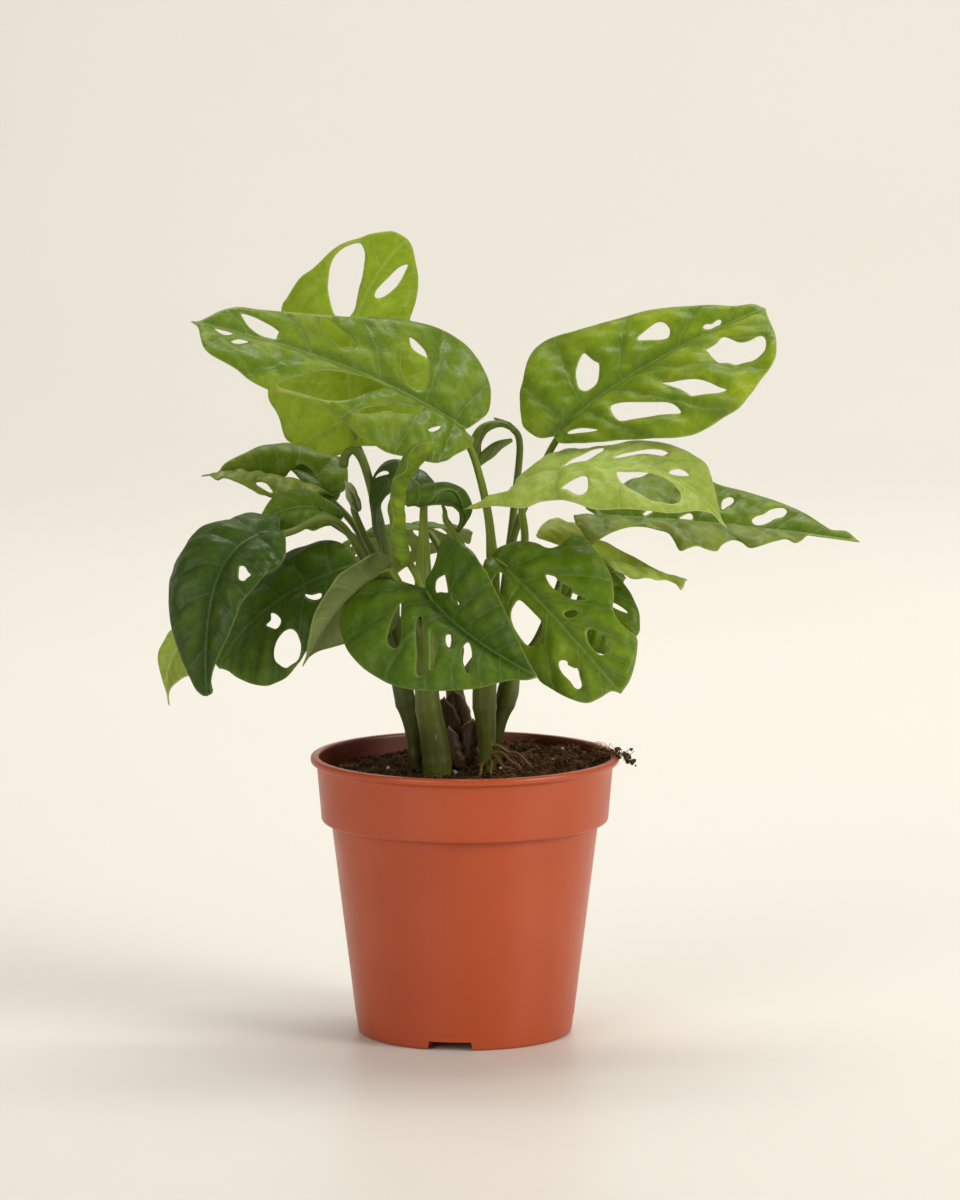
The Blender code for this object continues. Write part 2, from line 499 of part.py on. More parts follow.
def make_shoot(shoot, blades):
    cane = [triple(p) for p in shoot["cane"]]
    cane[0][2] = SOIL_TOP - STEM_SINK
    path = smooth_path(cane, 14.0)
    spots = np.linspace(0, 1, len(path))
    radii = np.interp(spots, np.linspace(0, 1, len(cane)), shoot["radii"])
    body = add_object(shoot["name"], *tube(path, radii, STALK_SIDES + 2), shoot["color"])
    parts = []
    for name, number, via in shoot["stalks"]:
        route = smooth_path([cane[number]] + via + [stalk_end(blades[name])], 11.0)
        taper = np.linspace(0, 1, len(route)) ** 0.6
        width = STALK_RADIUS * (1 - taper) + STALK_TIP_RADIUS * taper
        parts.append(add_object(name + "_stalk", *tube(route, width, STALK_SIDES), shoot["color"]))
    for root in shoot.get("roots", []):
        parts.append(add_object("root", *tube(root, [ROOT_RADIUS] * len(root), ROOT_SIDES), shoot["color"]))
    return fuse(body, parts)


def turned(profile, sides):
    # A solid turned about Z from a profile that starts and ends on the axis.
    points, faces = [], []
    rings = []
    for radius, height in profile:
        if radius < 1e-6:
            rings.append([len(points)])
            points.append((0.0, 0.0, height))
            continue
        start = len(points)
        rings.append(list(range(start, start + sides)))
        for i in range(sides):
            angle = 2 * math.pi * i / sides
            points.append((radius * math.cos(angle), radius * math.sin(angle), height))
    for low, high in zip(rings[:-1], rings[1:]):
        for i in range(sides):
            j = (i + 1) % sides
            if len(low) == 1:
                faces.append((low[0], high[i], high[j]))
            elif len(high) == 1:
                faces.append((low[i], low[j], high[0]))
            else:
                faces.append((low[i], low[j], high[j], high[i]))
    return points, faces


def outer_radius(height):
    # Outside of the pot's wall without its lip.
    if height < SHOULDER_HEIGHT:
        return FOOT_RADIUS + (BODY_TOP_RADIUS - FOOT_RADIUS) * height / SHOULDER_HEIGHT
    rise = (height - SHOULDER_HEIGHT) / (POT_HEIGHT - SHOULDER_HEIGHT)
    return BAND_LOW_RADIUS + (BAND_HIGH_RADIUS - BAND_LOW_RADIUS) * min(1.0, rise * 1.1)


def inner_radius(height):
    return outer_radius(height) - WALL


def pot_profile():
    lip = POT_HEIGHT - LIP_HEIGHT
    top = POT_HEIGHT
    step = SHOULDER_HEIGHT
    outside = [(0, 0), (DRAIN_INNER_RADIUS, 0), (FOOT_RADIUS - 1.2, 0), (FOOT_RADIUS - 0.2, 0.9),
               (outer_radius(6.0), 6.0), (outer_radius(step - 0.5), step - 0.5),
               (BAND_LOW_RADIUS - 1.2, step + 0.3), (BAND_LOW_RADIUS, step + 1.6),
               (outer_radius(lip - 0.6), lip - 0.6), (BAND_HIGH_RADIUS + 1.0, lip),
               (RIM_RADIUS, lip + 0.9), (RIM_RADIUS, top - 0.9), (RIM_RADIUS - 0.9, top)]
    inside_wall = [(inner_radius(top) + 0.6, top), (inner_radius(top), top - 0.9),
                   (inner_radius(step + 2.0), step + 2.0), (inner_radius(step) - 3.4, step),
                   (inner_radius(step - 2.2), step - 2.2), (inner_radius(2.4), 2.4),
                   (inner_radius(0.0) - 1.2, FLOOR_WALL), (DRAIN_INNER_RADIUS, FLOOR_WALL),
                   (0, FLOOR_WALL)]
    return outside + inside_wall


def wedge(name, grow, low, high, far):
    # A radial channel that widens outwards, before it is turned to its place.
    near = DRAIN_INNER_RADIUS - grow
    spread = (DRAIN_MOUTH_WIDTH - DRAIN_INNER_WIDTH) / 2 / (FOOT_RADIUS - DRAIN_INNER_RADIUS)
    halves = [DRAIN_INNER_WIDTH / 2 + grow + spread * (x - DRAIN_INNER_RADIUS) for x in (near, far)]
    points = []
    for height in (low, high):
        flare = DRAIN_DRAFT * (high - height)
        for x, half, sign in ((near, halves[0], -1), (far, halves[1], -1), (far, halves[1], 1),
                              (near, halves[0], 1)):
            points.append((x, sign * (half + flare), height))
    faces = [(3, 2, 1, 0), (4, 5, 6, 7), (0, 1, 5, 4), (1, 2, 6, 5), (2, 3, 7, 6), (3, 0, 4, 7)]
    return add_object(name, points, faces, TERRACOTTA)


def turn_to_drain(piece, number):
    angle = math.radians(DRAIN_FIRST_ANGLE + 360 / DRAIN_COUNT * number)
    piece.data.transform(Matrix.Rotation(angle, 4, "Z"))
    return piece


def make_pot():
    pot = add_object("pot", *turned(pot_profile(), POT_SIDES), TERRACOTTA, 0.35)
    covers = []
    cuts = []
    for number in range(DRAIN_COUNT):
        cover = wedge("cover", FLOOR_WALL, 0.4, DRAIN_HEIGHT + FLOOR_WALL, FOOT_RADIUS - 1.6)
        covers.append(turn_to_drain(cover, number))
        cut = wedge("channel", 0.0, -1.0, DRAIN_HEIGHT, FOOT_RADIUS + 4)
        cuts.append(turn_to_drain(cut, number))
        hole = add_object("drain_hole", *tube([(DRAIN_HOLE_PLACE, 0, 1), (DRAIN_HOLE_PLACE, 0, 8)],
                                              [DRAIN_HOLE_RADIUS] * 2, 12), TERRACOTTA)
        cuts.append(turn_to_drain(hole, number))
    fuse(pot, covers)
    fuse(pot, cuts, "DIFFERENCE")
    return pot


def soil_height(x, y):
    # Lower at the back left, heaped at the right, with soft lumps.
    lean = (x * 0.8 + y * 0.35) / BAND_HIGH_RADIUS
    heap = SOIL_MOUND * (0.5 + 0.5 * math.tanh(2.2 * (lean - 0.15)))
    lumps = 0.8 * math.sin(0.19 * x + 1.0) * math.cos(0.23 * y) + 0.5 * math.sin(0.41 * x - 0.33 * y)
    return SOIL_TOP + heap + lumps


def make_soil():
    sides = POT_SIDES
    step = SHOULDER_HEIGHT
    wall = [(inner_radius(0.0) - 1.6, FLOOR_WALL + GAP), (inner_radius(2.4) - GAP, 2.8),
            (inner_radius(step - 2.2) - GAP - 0.1, step - 2.0), (inner_radius(step) - 3.4 - GAP, step + 0.2),
            (inner_radius(step + 2.0) - GAP, step + 2.3)]
    edge_radius = inner_radius(SOIL_TOP) - GAP
    rings = [edge_radius, 50.0, 40.0, 30.0, 20.0, 10.0, 0.0]
    profile = [(0, FLOOR_WALL + GAP)] + wall + [(radius, SOIL_TOP) for radius in rings]
    points, faces = turned(profile, sides)
    top_start = 1 + len(wall) * sides
    points = [p if i < top_start else (p[0], p[1], soil_height(p[0], p[1])) for i, p in enumerate(points)]
    soil = add_object("soil", points, faces, SOIL_BROWN, 0.95)
    cuts = []
    for shoot in SHOOTS:
        x, y, _ = shoot["cane"][0]
        radius = shoot["radii"][0] + GAP
        path = [(x, y, SOIL_TOP - STEM_SINK - 2.0), (x, y, SOIL_TOP + 30)]
        hole = add_object("stem_hole", *tube(path, [radius + 0.4] * 2, 12), SOIL_BROWN)
        cuts.append(hole)
    for number in range(DRAIN_COUNT):
        room = wedge("room", FLOOR_WALL + GAP, -1.0, DRAIN_HEIGHT + FLOOR_WALL + GAP, FOOT_RADIUS + 4)
        cuts.append(turn_to_drain(room, number))
    return fuse(soil, cuts, "DIFFERENCE")


def main():
    for old in list(bpy.data.objects):
        bpy.data.objects.remove(old)
    make_pot()
    make_soil()
    blades = {leaf["name"]: leaf for leaf in LEAVES}
    for leaf in LEAVES:
        make_leaf(leaf)
    for shoot in SHOOTS:
        make_shoot(shoot, blades)


if __name__ == "__main__":
    main()
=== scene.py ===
import math
import bmesh
import bpy
import numpy as np
from mathutils import Matrix, Vector
from mathutils.geometry import delaunay_2d_cdt


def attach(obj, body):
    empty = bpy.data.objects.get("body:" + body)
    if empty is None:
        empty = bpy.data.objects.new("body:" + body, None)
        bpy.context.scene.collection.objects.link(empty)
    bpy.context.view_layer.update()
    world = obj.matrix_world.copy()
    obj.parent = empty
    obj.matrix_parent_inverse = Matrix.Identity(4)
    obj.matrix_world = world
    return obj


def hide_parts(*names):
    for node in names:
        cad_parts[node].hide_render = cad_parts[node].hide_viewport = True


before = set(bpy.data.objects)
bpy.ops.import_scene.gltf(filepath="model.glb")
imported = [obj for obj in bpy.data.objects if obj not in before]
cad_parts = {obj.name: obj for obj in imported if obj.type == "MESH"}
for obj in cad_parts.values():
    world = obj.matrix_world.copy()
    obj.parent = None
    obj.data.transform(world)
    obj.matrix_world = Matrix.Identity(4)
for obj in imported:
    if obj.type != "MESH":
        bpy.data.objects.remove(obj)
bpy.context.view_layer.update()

# Lengths in the dictionaries are millimetres, and metres for the stage and the lights.
mm = 0.001

# Blades: base, middle and tip of the midrib, then the left and right edges at the widest place, and
# that place as a share of the length in each half. shape is (lobe, fullness) of each half where
# seenShapes has no outline. bow lifts the halves, wave their edges, and hook lowers the tip.
# tint is a colour and its share on the left, on the right and at the tip, and ragged tears the edge.
# A hole is (share of the length, share of the half width, length, width, slant). rolls are blades
# still rolled up, in steps of (picture x, picture y, distance along y, radius).
rowHoles = [(0.10, 0.50, 13.0, 4.0, 78), (0.28, 0.50, 15.0, 4.5, 66),
            (0.46, 0.45, 12.0, 4.0, 58), (0.63, 0.32, 7.5, 3.0, 50)]
smallHoles = [(0.20, 0.46, 9.0, 2.8, 68), (0.45, 0.42, 7.0, 2.4, 58)]
leafSpecs = [
    dict(node="leaf_top_left", base=(0, -4, 237), mid=(-44, -2, 260), tip=(-106, -14, 281),
         left=(-23, -27, 228), right=(-9, 22, 269), wide=(0.2, 0.25), bow=(4, 2), wave=1.6, hook=2,
         look="fresh"),
    dict(node="leaf_top_back", base=(-42, 32, 226), mid=(-43, 40, 273), tip=(-20, 46, 308),
         left=(-75, 46, 240), right=(-14, 50, 248), wide=(0.25, 0.2), bow=(3, 3), wave=1.2, hook=2,
         look="bright"),
    dict(node="leaf_top_right", base=(35, 2, 234), mid=(67, 8, 258), tip=(116, 16, 283), left=(33, 30, 266),
         right=(79, -30, 236), wide=(0.25, 0.35), bow=(2, 4), wave=1.4, hook=2, look="meadow"),
    dict(node="leaf_right_pale", base=(20, -24, 217), mid=(65, -34, 227), tip=(100, -44, 207),
         left=(58, -6, 233), right=(32, -54, 213), wide=(0.35, 0.2), bow=(1, 4), wave=1.2, hook=3,
         look="pale"),
    dict(node="leaf_far_right", base=(52, 22, 200), mid=(100, 26, 196), tip=(157, 22, 190),
         left=(86, 48, 211), right=(77, 0, 190), wide=(0.4, 0.2), bow=(2, 2), wave=2.2, hook=1,
         tint=((0.27, 0.32, 0.05), 0.0, 0.85, 0.5), look="fresh"),
    dict(node="leaf_right_narrow", base=(40, 14, 188), mid=(66, 16, 180), tip=(88, 14, 176),
         left=(52, 26, 192), right=(51, 4, 184), wide=(0.4, 0.2), bow=(1, 1), wave=0.8, hook=1,
         tint=((0.42, 0.36, 0.02), 0.7, 0.1, 0.2), look="pale"),
    dict(node="leaf_front", base=(-15, -22, 177), mid=(0, -46, 164), tip=(27, -66, 150), left=(4, -34, 194),
         right=(-44, -34, 154), wide=(0.25, 0.25), bow=(2, 4), wave=1.0, hook=1,
         tint=((0.13, 0.235, 0.006), 0.0, 0.6, 0.0), look="deep"),
    dict(node="leaf_front_right", base=(10, -10, 188), mid=(28, -22, 173), tip=(60, -40, 139),
         left=(44, -6, 197), right=(5, -20, 164), wide=(0.2, 0.3), bow=(2, 3), wave=1.2, hook=1,
         tint=((0.24, 0.36, 0.012), 0.0, 0.35, 0.5), look="leafy"),
    dict(node="leaf_right_behind", base=(42, 16, 183), mid=(54, 16, 163), tip=(63, 8, 144),
         left=(66, 20, 167), right=(39, 16, 157), wide=(0.35, 0.3), shape=((0.4, 0.0), (0.6, 0.2)),
         bow=(2, 2), wave=0.8, hook=1, look="leafy", holes=(smallHoles, smallHoles)),
    dict(node="leaf_left_front", base=(-72, -10, 198), mid=(-94, -30, 183), tip=(-97, -34, 136),
         left=(-70, -30, 189), right=(-106, -10, 193), wide=(0.2, 0.35), bow=(3, 5), wave=1.0, hook=-3,
         look="dark"),
    dict(node="leaf_left_middle", base=(-42, 6, 183), mid=(-75, 4, 167), tip=(-96, 6, 143),
         left=(-68, -8, 144), right=(-62, 20, 189), wide=(0.5, 0.25), bow=(3, 3), wave=1.0, hook=1,
         look="deep"),
    dict(node="leaf_left_low", base=(-93, 26, 159), mid=(-112, 20, 148), tip=(-116, 16, 128),
         left=(-102, 12, 142), right=(-114, 32, 153), wide=(0.35, 0.45), shape=((0.6, 0.2), (0.6, -0.2)),
         bow=(2, 3), wave=0.8, hook=0, tint=((0.22, 0.20, 0.05), 0.8, 0.0, 0.2), look="pale",
         holes=(smallHoles, [])),
    dict(node="leaf_centre_left", base=(-28, -10, 184), mid=(-47, -14, 171), tip=(-62, -18, 149),
         left=(-43, -20, 186), right=(-28, 0, 157), wide=(0.3, 0.3), shape=((0.2, 0.2), (0.4, 0.2)),
         bow=(1, 2), wave=0.8, hook=1, look="dusky", holes=([], smallHoles)),
    dict(node="leaf_left_back", base=(-52, 50, 204), mid=(-77, 50, 212), tip=(-101, 42, 214),
         left=(-66, 32, 205), right=(-56, 66, 222), wide=(0.35, 0.35), bow=(3, 4), wave=1.0, hook=1,
         tint=((0.42, 0.42, 0.05), 0.55, 0.25, 0.9), look="leafy"),
    dict(node="leaf_left_back", part="Lobe", base=(-50, 52, 203), mid=(-60, 60, 211), tip=(-70, 62, 214),
         left=(-61, 52, 205), right=(-58, 68, 220), wide=(0.35, 0.35), shape=((0.5, 0.6), (0.5, 0.6)),
         bow=(1, 2), wave=0.5, hook=1, look="leafy"),
    dict(node="leaf_left_small", base=(-50, 22, 198), mid=(-67, 20, 203), tip=(-87, 20, 191),
         left=(-60, 10, 196), right=(-67, 30, 209), wide=(0.3, 0.4), shape=((0.6, 0.7), (0.8, -0.3)),
         bow=(2, 2), wave=0.6, hook=1, look="leafy"),
    dict(node="leaf_centre_upright", base=(-22, -18, 191), mid=(-27, -27, 210), tip=(-12, -44, 237),
         left=(-30, -36, 203), right=(-22, -12, 203), look="meadow", rolls=[
             [(435, 441, -44, 0.7), (425, 447, -42, 3.0), (415, 456, -38, 4.2), (408, 467, -34, 4.0),
              (401, 480, -31, 3.4), (398, 495, -28, 3.2), (396, 508, -26, 3.7), (397, 520, -24, 3.5),
              (398, 533, -22, 3.2), (400, 546, -21, 3.5), (403, 558, -20, 2.9), (404, 567, -20, 1.2)]]),
    dict(node="leaf_centre_curled", base=(-5, 4, 200), mid=(-14, 0, 209), tip=(-22, -8, 198),
         left=(-10, -10, 204), right=(-10, 14, 212), look="deep", rolls=[
             [(406, 505, -8, 1.2), (413, 499, -8, 3.8), (424, 496, -6, 4.9), (438, 494, -4, 4.8),
              (450, 495, -2, 5.0), (460, 501, 0, 4.2), (465, 511, 2, 3.0), (463, 521, 3, 1.6),
              (458, 531, 4, 0.9)]]),
    dict(node="leaf_top_curl", base=(20, 28, 235), mid=(10, 28, 233), tip=(5, 22, 220), left=(12, 14, 230),
         right=(8, 38, 234), look="dusky", rolls=[
             [(515, 430, 28, 1.0), (503, 424, 28, 1.4), (491, 425, 27, 1.9), (481, 431, 26, 2.4),
              (476, 441, 25, 2.5), (476, 453, 24, 2.1), (479, 464, 23, 0.8)],
             [(512, 440, 27, 0.8), (501, 444, 26, 1.9), (491, 451, 25, 2.6), (483, 458, 23, 2.2),
              (478, 466, 22, 0.8)]]),
    dict(node="leaf_centre_back", base=(-14, 20, 209), mid=(-30, 22, 213), tip=(-34, 18, 187),
         left=(-25, 8, 208), right=(-28, 34, 220), wide=(0.3, 0.3), shape=((0.6, 0.4), (0.6, 0.4)),
         bow=(2, 2), wave=0.6, hook=1, look="dark", holes=([], smallHoles)),
    dict(node="leaf_rolled", base=(-42, 30, 200), mid=(-44, 30, 206), tip=(-47, 30, 212),
         left=(-46, 28, 205), right=(-42, 32, 207), wide=(0.5, 0.5), shape=((0.2, 0.6), (0.2, 0.6)),
         bow=(1, 1), wave=0.2, hook=0, look="silver"),
    dict(node="leaf_rear_left", base=(-16, 62, 190), mid=(-30, 84, 184), tip=(-38, 98, 158),
         left=(-48, 66, 182), right=(0, 88, 180), wide=(0.26, 0.26), shape=((1.0, 0.2), (1.0, 0.2)),
         bow=(3, 3), wave=1.2, hook=2, look="leafy", holes=(rowHoles, rowHoles)),
    dict(node="leaf_rear_right", base=(30, 56, 176), mid=(44, 78, 174), tip=(54, 98, 150),
         left=(18, 74, 172), right=(60, 62, 172), wide=(0.26, 0.26), shape=((1.0, 0.2), (1.0, 0.2)),
         bow=(3, 3), wave=1.2, hook=2, look="leafy", holes=(rowHoles, rowHoles)),
    dict(node="dry_sheath_left", base=(-4, 2, 102.6), mid=(-7, 1, 115), tip=(-8, 3, 130),
         left=(-12, 4, 113), right=(-1, 5, 113), wide=(0.35, 0.3), shape=((0.0, 0.8), (0.0, 0.6)),
         bow=(1.6, 1.6), wave=1.2, hook=0, ragged=0.9, look="dry"),
    dict(node="dry_sheath_left", part="Torn", base=(-2, -2, 103), mid=(-5, -4, 111), tip=(-6, -3, 120),
         left=(-8, -1, 110), right=(0, 0, 109), wide=(0.3, 0.4), shape=((0.0, 0.5), (0.0, 0.7)),
         bow=(1, 1.4), wave=1.0, hook=1, ragged=0.8, look="dry"),
    dict(node="dry_sheath_right", base=(1, 1, 103.4), mid=(1, 0, 111), tip=(3, 2, 122), left=(-3, 4, 110),
         right=(5, 3, 110), wide=(0.3, 0.35), shape=((0.0, 0.6), (0.0, 0.8)), bow=(1.4, 1), wave=1.0,
         hook=0, ragged=0.8, look="dry"),
    dict(node="dry_sheath_right", part="Torn", base=(0, 6, 104), mid=(-2, 7, 118), tip=(-5, 8, 133),
         left=(-6, 8, 116), right=(4, 8, 116), wide=(0.35, 0.3), shape=((0.0, 0.7), (0.0, 0.6)),
         bow=(1.5, 1), wave=1.2, hook=0, ragged=0.9, look="dry"),
]

# Outlines and holes read from the photo, in its pixels, each edge from base to tip; a pair of
# small numbers is a share of the length and half width where the photo hides the edge.
seenShapes = {
    "leaf_top_left": dict(
        left="463,431 469,434 474,438 472,445 465,450 455,455 446,461 436,463 424,461 410,457 396,455 "
             "382,450 370,442 358,435 346,424 334,415 320,404 306,399 290,395 272,391 258,385 248,379 "
             "236,369 222,361 210,354 203,346 200,335 198,327 193,324",
        right="463,431 470,427 480,420 487,414 490,406 491,394 489,382 484,370 477,358 467,346 455,337 "
              "440,329 425,324 410,321 395,318 375,317 350,317 325,315 300,313 275,311 255,309 240,307 "
              "230,308 220,311 208,317 199,321 193,324",
        cuts=["241,314 248,315 256,318 264,322 273,327 281,334 277,339 268,340 260,335 254,331 248,326 "
              "244,320",
              "214,328 220,327 228,331 233,333 230,335 224,335 218,332",
              "232,341 240,339 249,342 240,344 232,343",
              "278,385 290,379 304,375 320,371 335,371 350,374 366,377 378,381 392,386 380,390 366,394 "
              "352,399 338,401 324,400 310,396 296,392 284,389",
              "358,413 366,408 378,406 390,406 402,405 412,407 422,407 421,412 416,416 408,414 398,414 "
              "388,411 376,413 366,414",
              "428,430 434,427 441,426 438,430 432,432",
              "321,320 328,319 336,325 345,333 352,340 356,348 350,347 342,348 334,342 327,336 322,328",
              "405,336 412,338 419,344 425,351 428,360 429,372 427,382 423,390 416,390 409,385 404,377 "
              "401,367 401,355 400,345 401,338"]),
    "leaf_top_back": dict(
        left="358,446 352,451 343,454 332,456 320,453 308,448 296,445 287,440 283,432 280,420 276,411 "
             "270,402 268,391 0.42,1.02 0.5,0.95 282,306 287,298 293,288 301,277 311,270 320,262 329,253 "
             "338,246 349,241 360,238 370,234 382,232 392,231 400,234 409,240",
        right="358,446 -0.03,0.3 -0.02,0.6 0.05,0.85 0.12,0.97 0.2,1 0.3,1.02 0.36,0.98 0.42,0.74 0.5,0.66 "
              "0.6,0.66 410,320 413,310 416,300 418,288 418,275 416,264 414,254 412,246 409,240",
        cuts=["359,243 350,245 342,249 335,256 331,264 329,275 328,288 330,300 332,308 335,315 343,322 "
              "351,315 355,308 357,298 359,288 362,278 364,266 365,255 363,247",
              "408,265 405,272 401,280 396,287 388,294 380,298 375,297 376,291 382,284 390,276 397,269 "
              "404,265"]),
    "leaf_top_right": dict(
        left="549,441 540,438 530,433 523,426 521,416 520,404 520,392 523,380 526,366 530,356 537,347 "
             "547,340 560,335 575,331 592,326 610,321 628,316 645,311 665,308 690,306 712,305 735,306 "
             "753,304 763,308 769,312",
        right="549,441 560,443 580,443 600,442 620,440 645,439 670,438 688,436 704,430 720,420 738,409 "
              "750,395 760,381 770,368 776,355 776,338 772,326 768,317 769,312",
        cuts=["584,353 589,357 594,361 599,364 599,374 597,383 592,388 586,391 580,389 577,382 576,372 "
              "578,364 581,357",
              "662,322 667,325 670,331 668,338 660,340 650,340 638,340 639,336 645,331 650,327 656,323",
              "703,327 706,324 712,324 717,320 721,320 721,325 718,328 711,330 705,329",
              "706,350 711,347 717,343 721,338 725,337 731,339 738,342 746,342 753,339 759,336 764,337 "
              "766,343 765,350 760,356 753,361 744,363 736,365 728,363 719,363 713,358 709,353",
              "662,383 672,382 682,380 693,379 702,380 711,383 719,387 727,390 719,393 708,394 699,395 "
              "692,396 687,393 680,389 671,386",
              "611,406 618,403 628,402 640,402 655,402 665,402 673,404 678,408 681,413 673,414 660,415 "
              "648,417 635,419 622,421 616,418 612,412",
              "568,432 575,429 585,428 598,430 590,432 580,433 570,434"]),
    "leaf_right_pale": dict(
        left="521,488 522,478 527,468 535,457 543,449 556,446 575,447 595,447 612,445 630,441 648,441 "
             "668,444 682,449 695,456 706,464 711,476 715,491 718,505 721,517 724,529",
        right="521,488 508,491 490,494 474,496 465,502 464,508 475,509 492,506 508,507 524,508 540,502 "
              "556,500 572,502 586,507 602,510 625,509 650,511 675,513 700,511 713,514 720,522 724,529",
        cuts=["554,478 558,472 565,465 573,459 582,455 592,450 602,448 604,450 598,454 590,459 580,465 "
              "570,471 562,476",
              "614,457 622,454 632,452 642,450 654,449 662,450 668,453 663,456 655,455 645,454 635,455 "
              "625,457 616,458",
              "562,488 568,483 575,479 582,476 587,477 588,484 587,491 581,495 575,494 568,490",
              "617,472 628,472 640,472 650,473 660,476 668,480 675,486 680,492 681,498 677,503 670,504 "
              "660,502 650,500 640,494 630,489 623,484 619,479",
              "667,474 672,470 680,469 686,472 689,476 680,476 672,475"]),
    "leaf_far_right": dict(
        left="598,515 585,507 592,498 610,492 623,484 637,478 650,474 670,476 690,479 714,483 735,489 "
             "760,496 784,504 806,514 823,525 832,530 846,531 855,538 861,546",
        right="598,515 577,506 573,513 575,522 582,532 590,545 602,538 616,531 630,527 645,527 658,530 "
              "668,533 674,541 680,551 689,548 698,546 706,549 717,551 722,545 732,540 741,542 750,548 "
              "763,545 776,541 786,539 795,543 802,540 810,533 822,531 838,534 850,539 861,546",
        cuts=["722,502 726,498 731,497 734,500 732,504 727,507 722,510",
              "752,520 757,516 764,514 770,510 777,508 784,508 787,512 783,517 775,519 768,523 760,525 "
              "754,524",
              "643,514 648,510 655,508 652,512 646,515",
              "679,518 684,515 690,513 693,516 692,520 685,520"]),
    "leaf_right_narrow": dict(
        left="567,548 552,548 540,542 537,533 543,524 555,518 568,520 578,527 586,536 598,540 606,542 "
             "618,549 634,557 650,566 665,573 680,577 686,579",
        right="567,548 578,556 592,553 604,562 614,569 624,574 633,579 645,578 655,580 666,580 674,583 "
              "682,590 686,579", cuts=[]),
    "leaf_front": dict(
        left="420,590 426,580 432,570 436,560 438,550 441,543 448,537 456,539 466,546 476,556 485,569 "
             "492,583 500,600 508,617 517,637 526,656 533,670 537,678",
        right="420,590 410,584 398,580 384,577 370,579 358,586 349,598 342,612 340,626 343,640 350,654 "
              "362,667 378,678 395,686 414,690 436,691 460,690 480,688 498,683 514,680 528,680 537,678",
        cuts=["401,603 396,611 392,620 389,630 387,640 391,647 397,648 401,640 402,628 401,614",
              "419,616 416,625 416,640 417,655 416,668 418,676 424,674 427,665 427,650 427,635 425,625 "
              "422,618",
              "431,630 434,636 437,645 436,655 433,665 431,670 431,660 431,645",
              "446,636 449,634 453,638 453,644 449,648 446,643",
              "468,642 471,648 472,658 470,668 467,674 464,665 462,655 463,647",
              "436,582 440,577 448,575 449,583 449,592 441,592 436,592",
              "451,594 455,596 460,605 454,601"]),
    "leaf_front_right": dict(
        left="490,556 498,548 510,543 523,541 536,543 548,548 558,546 567,539 576,534 586,539 596,551 "
             "605,564 612,579 614,595 613,608 618,620 628,630 637,638 637,652 634,668 629,682 622,693",
        right="490,556 484,562 482,575 486,590 496,610 508,632 520,652 532,668 540,681 550,688 562,695 "
              "576,701 588,703 600,698 612,691 622,693",
        cuts=["500,572 504,575 505,582 503,590 499,597 495,590 492,583 495,576",
              "519,600 527,606 534,613 541,621 542,632 540,640 534,646 527,645 520,637 514,627 511,616 "
              "513,607",
              "559,662 563,660 567,661 568,665 574,668 578,669 580,678 582,686 579,689 575,688 570,681 "
              "564,675 560,669",
              "588,630 593,629 599,632 605,636 608,642 609,650 603,655 600,655 594,650 589,643 587,636",
              "546,575 553,575 558,580 564,584 571,588 573,593 583,597 588,600 578,600 568,598 558,592 "
              "550,585",
              "564,613 570,610 578,611 577,615 571,618 566,617"]),
    "leaf_left_front": dict(
        left="278,530 285,535 286,548 284,560 272,571 258,584 247,596 241,605 236,618 229,635 221,652 "
             "214,668 211,682 213,692 215,697",
        right="278,530 280,520 270,517 258,519 244,526 228,531 212,532 197,536 186,544 177,558 171,572 "
              "169,590 169,608 171,625 176,643 182,660 189,676 196,690 205,697 215,697",
        cuts=["240,566 245,567 248,572 251,575 247,578 244,581 239,579 239,572"]),
    "leaf_left_middle": dict(
        left="357,564 345,590 325,620 304,655 298,664 290,674 278,682 266,686 252,684 238,678 228,671 "
             "218,663",
        right="357,564 355,556 347,547 335,541 320,541 305,546 290,551 275,560 262,575 250,592 238,620 "
              "226,645 218,663",
        cuts=["291,629 296,632 299,638 301,646 300,655 297,661 291,665 286,668 280,665 275,660 274,652 "
              "276,643 280,636 285,631",
              "271,613 277,615 281,620 280,625 276,629 270,627 266,625 271,620",
              "305,594 312,595 321,593 321,598 315,600 308,598"]),
    "leaf_left_back": dict(
        left="333,496 312,497 300,494 285,495 275,498 262,495 252,490 243,485 234,481 224,478 216,480 "
             "210,484",
        right="333,496 345,490 348,475 345,462 338,456 325,456 315,451 303,447 290,443 275,444 260,446 "
              "247,452 234,458 224,464 217,473 210,484",
        cuts=["256,483 262,482 267,484 270,488 273,492 268,492 263,489 258,486",
              "298,465 303,464 308,467 315,473 319,481 320,488 314,489 306,489 297,488 291,484 288,478 "
              "290,471"]),
}

